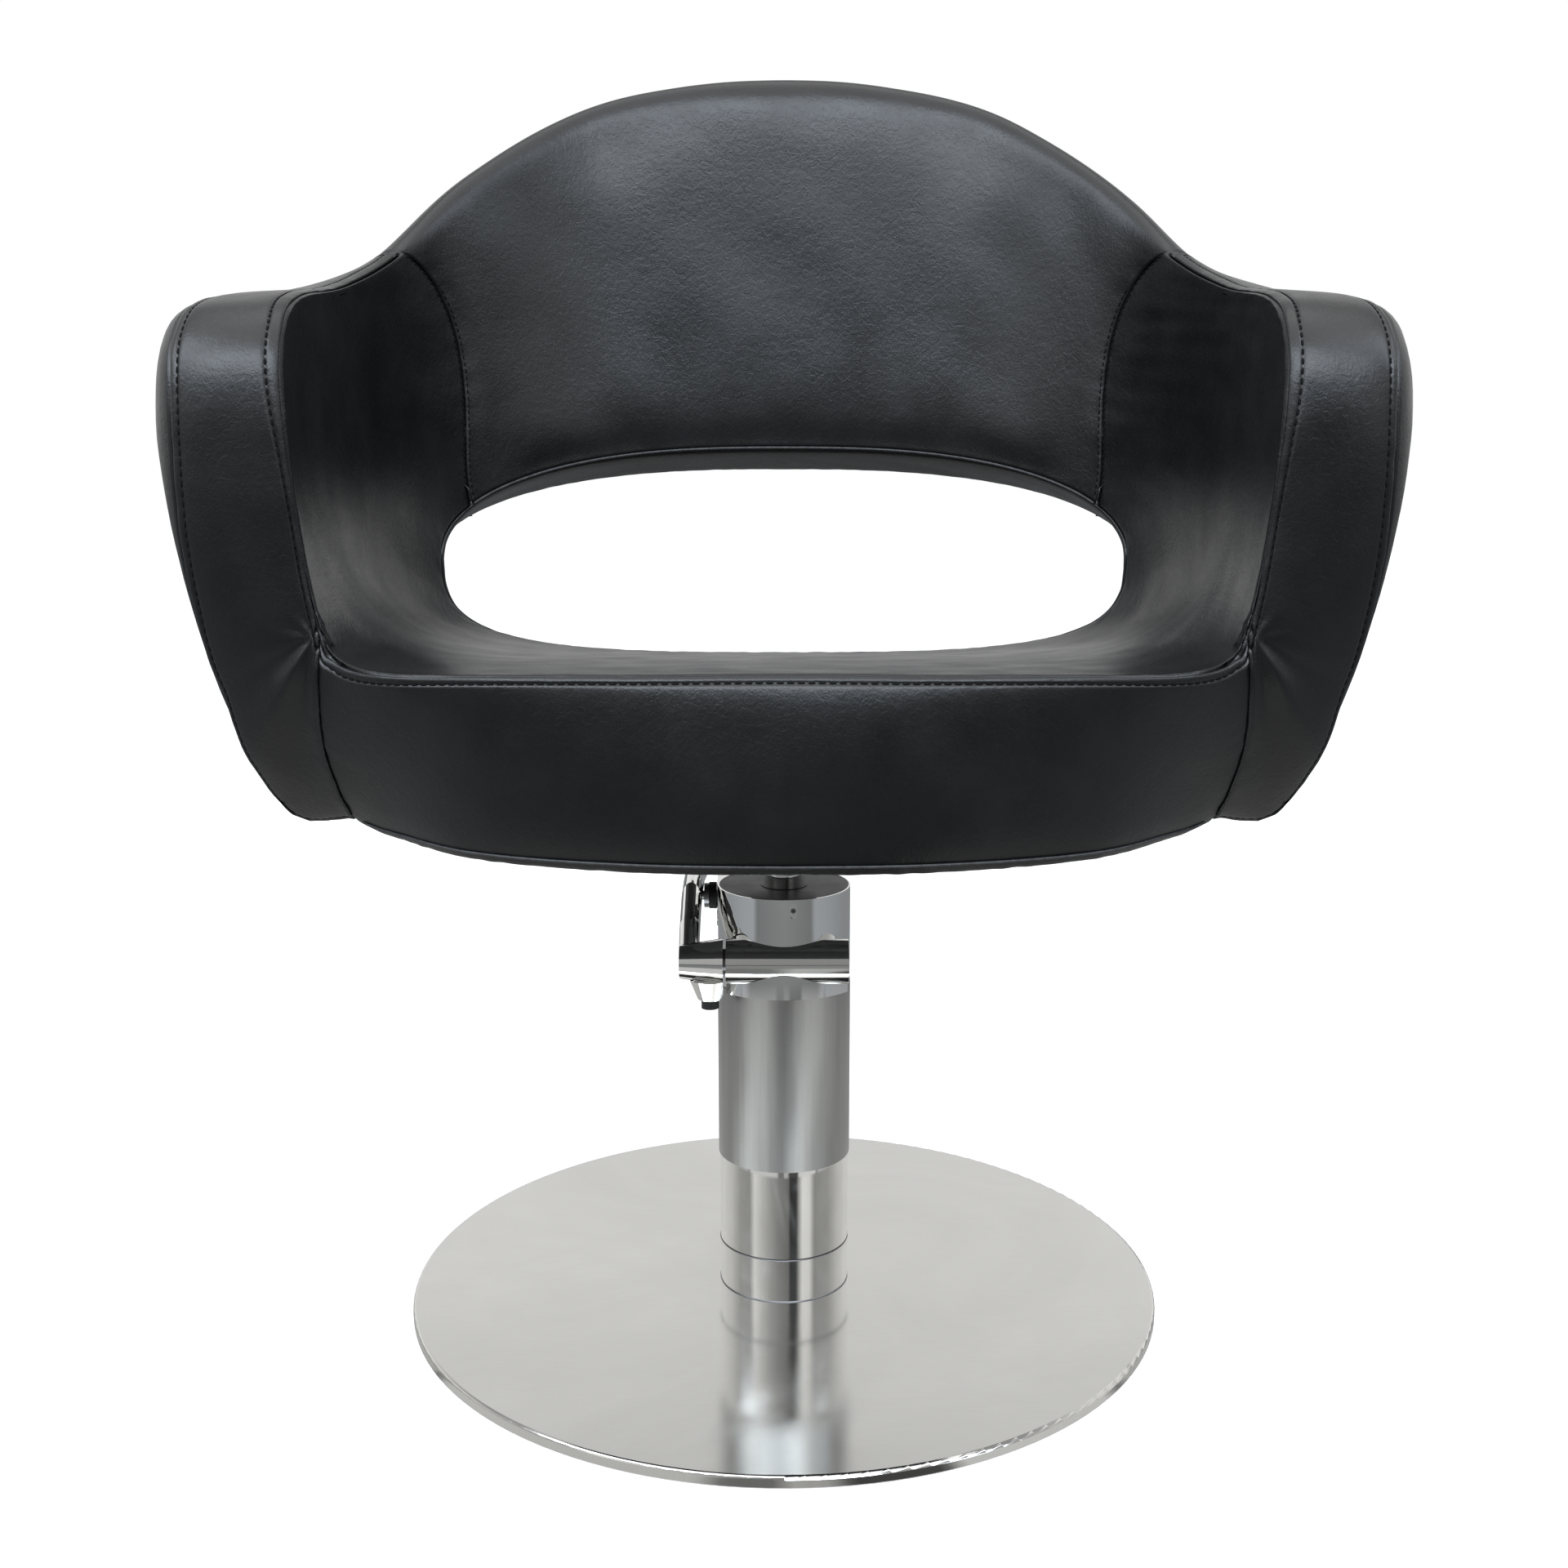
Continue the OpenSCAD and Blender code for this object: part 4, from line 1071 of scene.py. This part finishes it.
FLOOR_RADIUS, FLOOR_SIDES = 12, 64
FLOOR_GLOW = 0.42  # keeps the floor white where it is seen
floor_mesh = bpy.data.meshes.new("floor")
ring = [(FLOOR_RADIUS * math.cos(t), FLOOR_RADIUS * math.sin(t), 0)
        for t in np.linspace(0, 2 * np.pi, FLOOR_SIDES + 1)[:-1]]
floor_mesh.from_pydata(ring, [], [list(range(FLOOR_SIDES))])
floor = bpy.data.objects.new("floor", floor_mesh)
scene.collection.objects.link(floor)
n = Nodes("pale_floor")
tone = n.noise(3, 4)
floor_mesh.materials.append(n.set(
    colour=n.colours(tone, (0.3, (0.66, 0.66, 0.66)), (0.7, (0.69, 0.69, 0.69))),
    rough=n.ramp(tone, 0.55, 0.7), specular=0.25))
n.shader.inputs["Emission Color"].default_value = (1, 1, 1, 1)
n.shader.inputs["Emission Strength"].default_value = FLOOR_GLOW
# The floor lights the object from below far less than it shows: dim, by half turns of bearing,
FLOOR_DIM = ((0.0, (0.11, 0.108, 0.103)), (0.255, (0.09, 0.089, 0.085)),
             (0.30, (0.17, 0.17, 0.17)), (0.62, (0.17, 0.17, 0.17)))
# and close to the base with the strips of light that the polished column shows, by degrees.
NEAR_STRIPS = [(-180, 0.50), (-62, 0.50), (-60, 0.20), (-57, 0.66), (-12, 0.62), (-8, 0.19),
               (-1, 0.21), (1, 0.50), (6, 0.44), (9, 0.07), (22, 0.08), (25, 0.72), (52, 0.72),
               (56, 0.22), (59, 0.50), (180, 0.52)]
STRIP_WARMTH = 0.985
NEAR_FROM, NEAR_TO = 0.66, 0.86
dim = n.add("ShaderNodeBsdfDiffuse")
bearing = n.bearing(n.split(n.place))
n.link(n.colours(n.math("DIVIDE", n.math("ABSOLUTE", bearing), math.pi), *FLOOR_DIM),
       dim.inputs["Color"])
strips = n.add("ShaderNodeEmission")
n.link(n.around(bearing, *[(degrees, (value, value, value * STRIP_WARMTH))
                           for degrees, value in NEAR_STRIPS]), strips.inputs["Color"])
reach = n.add("ShaderNodeVectorMath", operation="LENGTH")
n.link(n.place, reach.inputs[0])
near = n.ramp(reach.outputs["Value"], 1.0, 0.0, NEAR_FROM, NEAR_TO)
unseen = n.mix("ShaderNodeMixShader", near, dim.outputs[0], strips.outputs[0])
seen = n.add("ShaderNodeLightPath").outputs["Is Camera Ray"]
n.link(n.mix("ShaderNodeMixShader", seen, unseen, n.shader.outputs[0]),
       n.tree.nodes["Material Output"].inputs["Surface"])
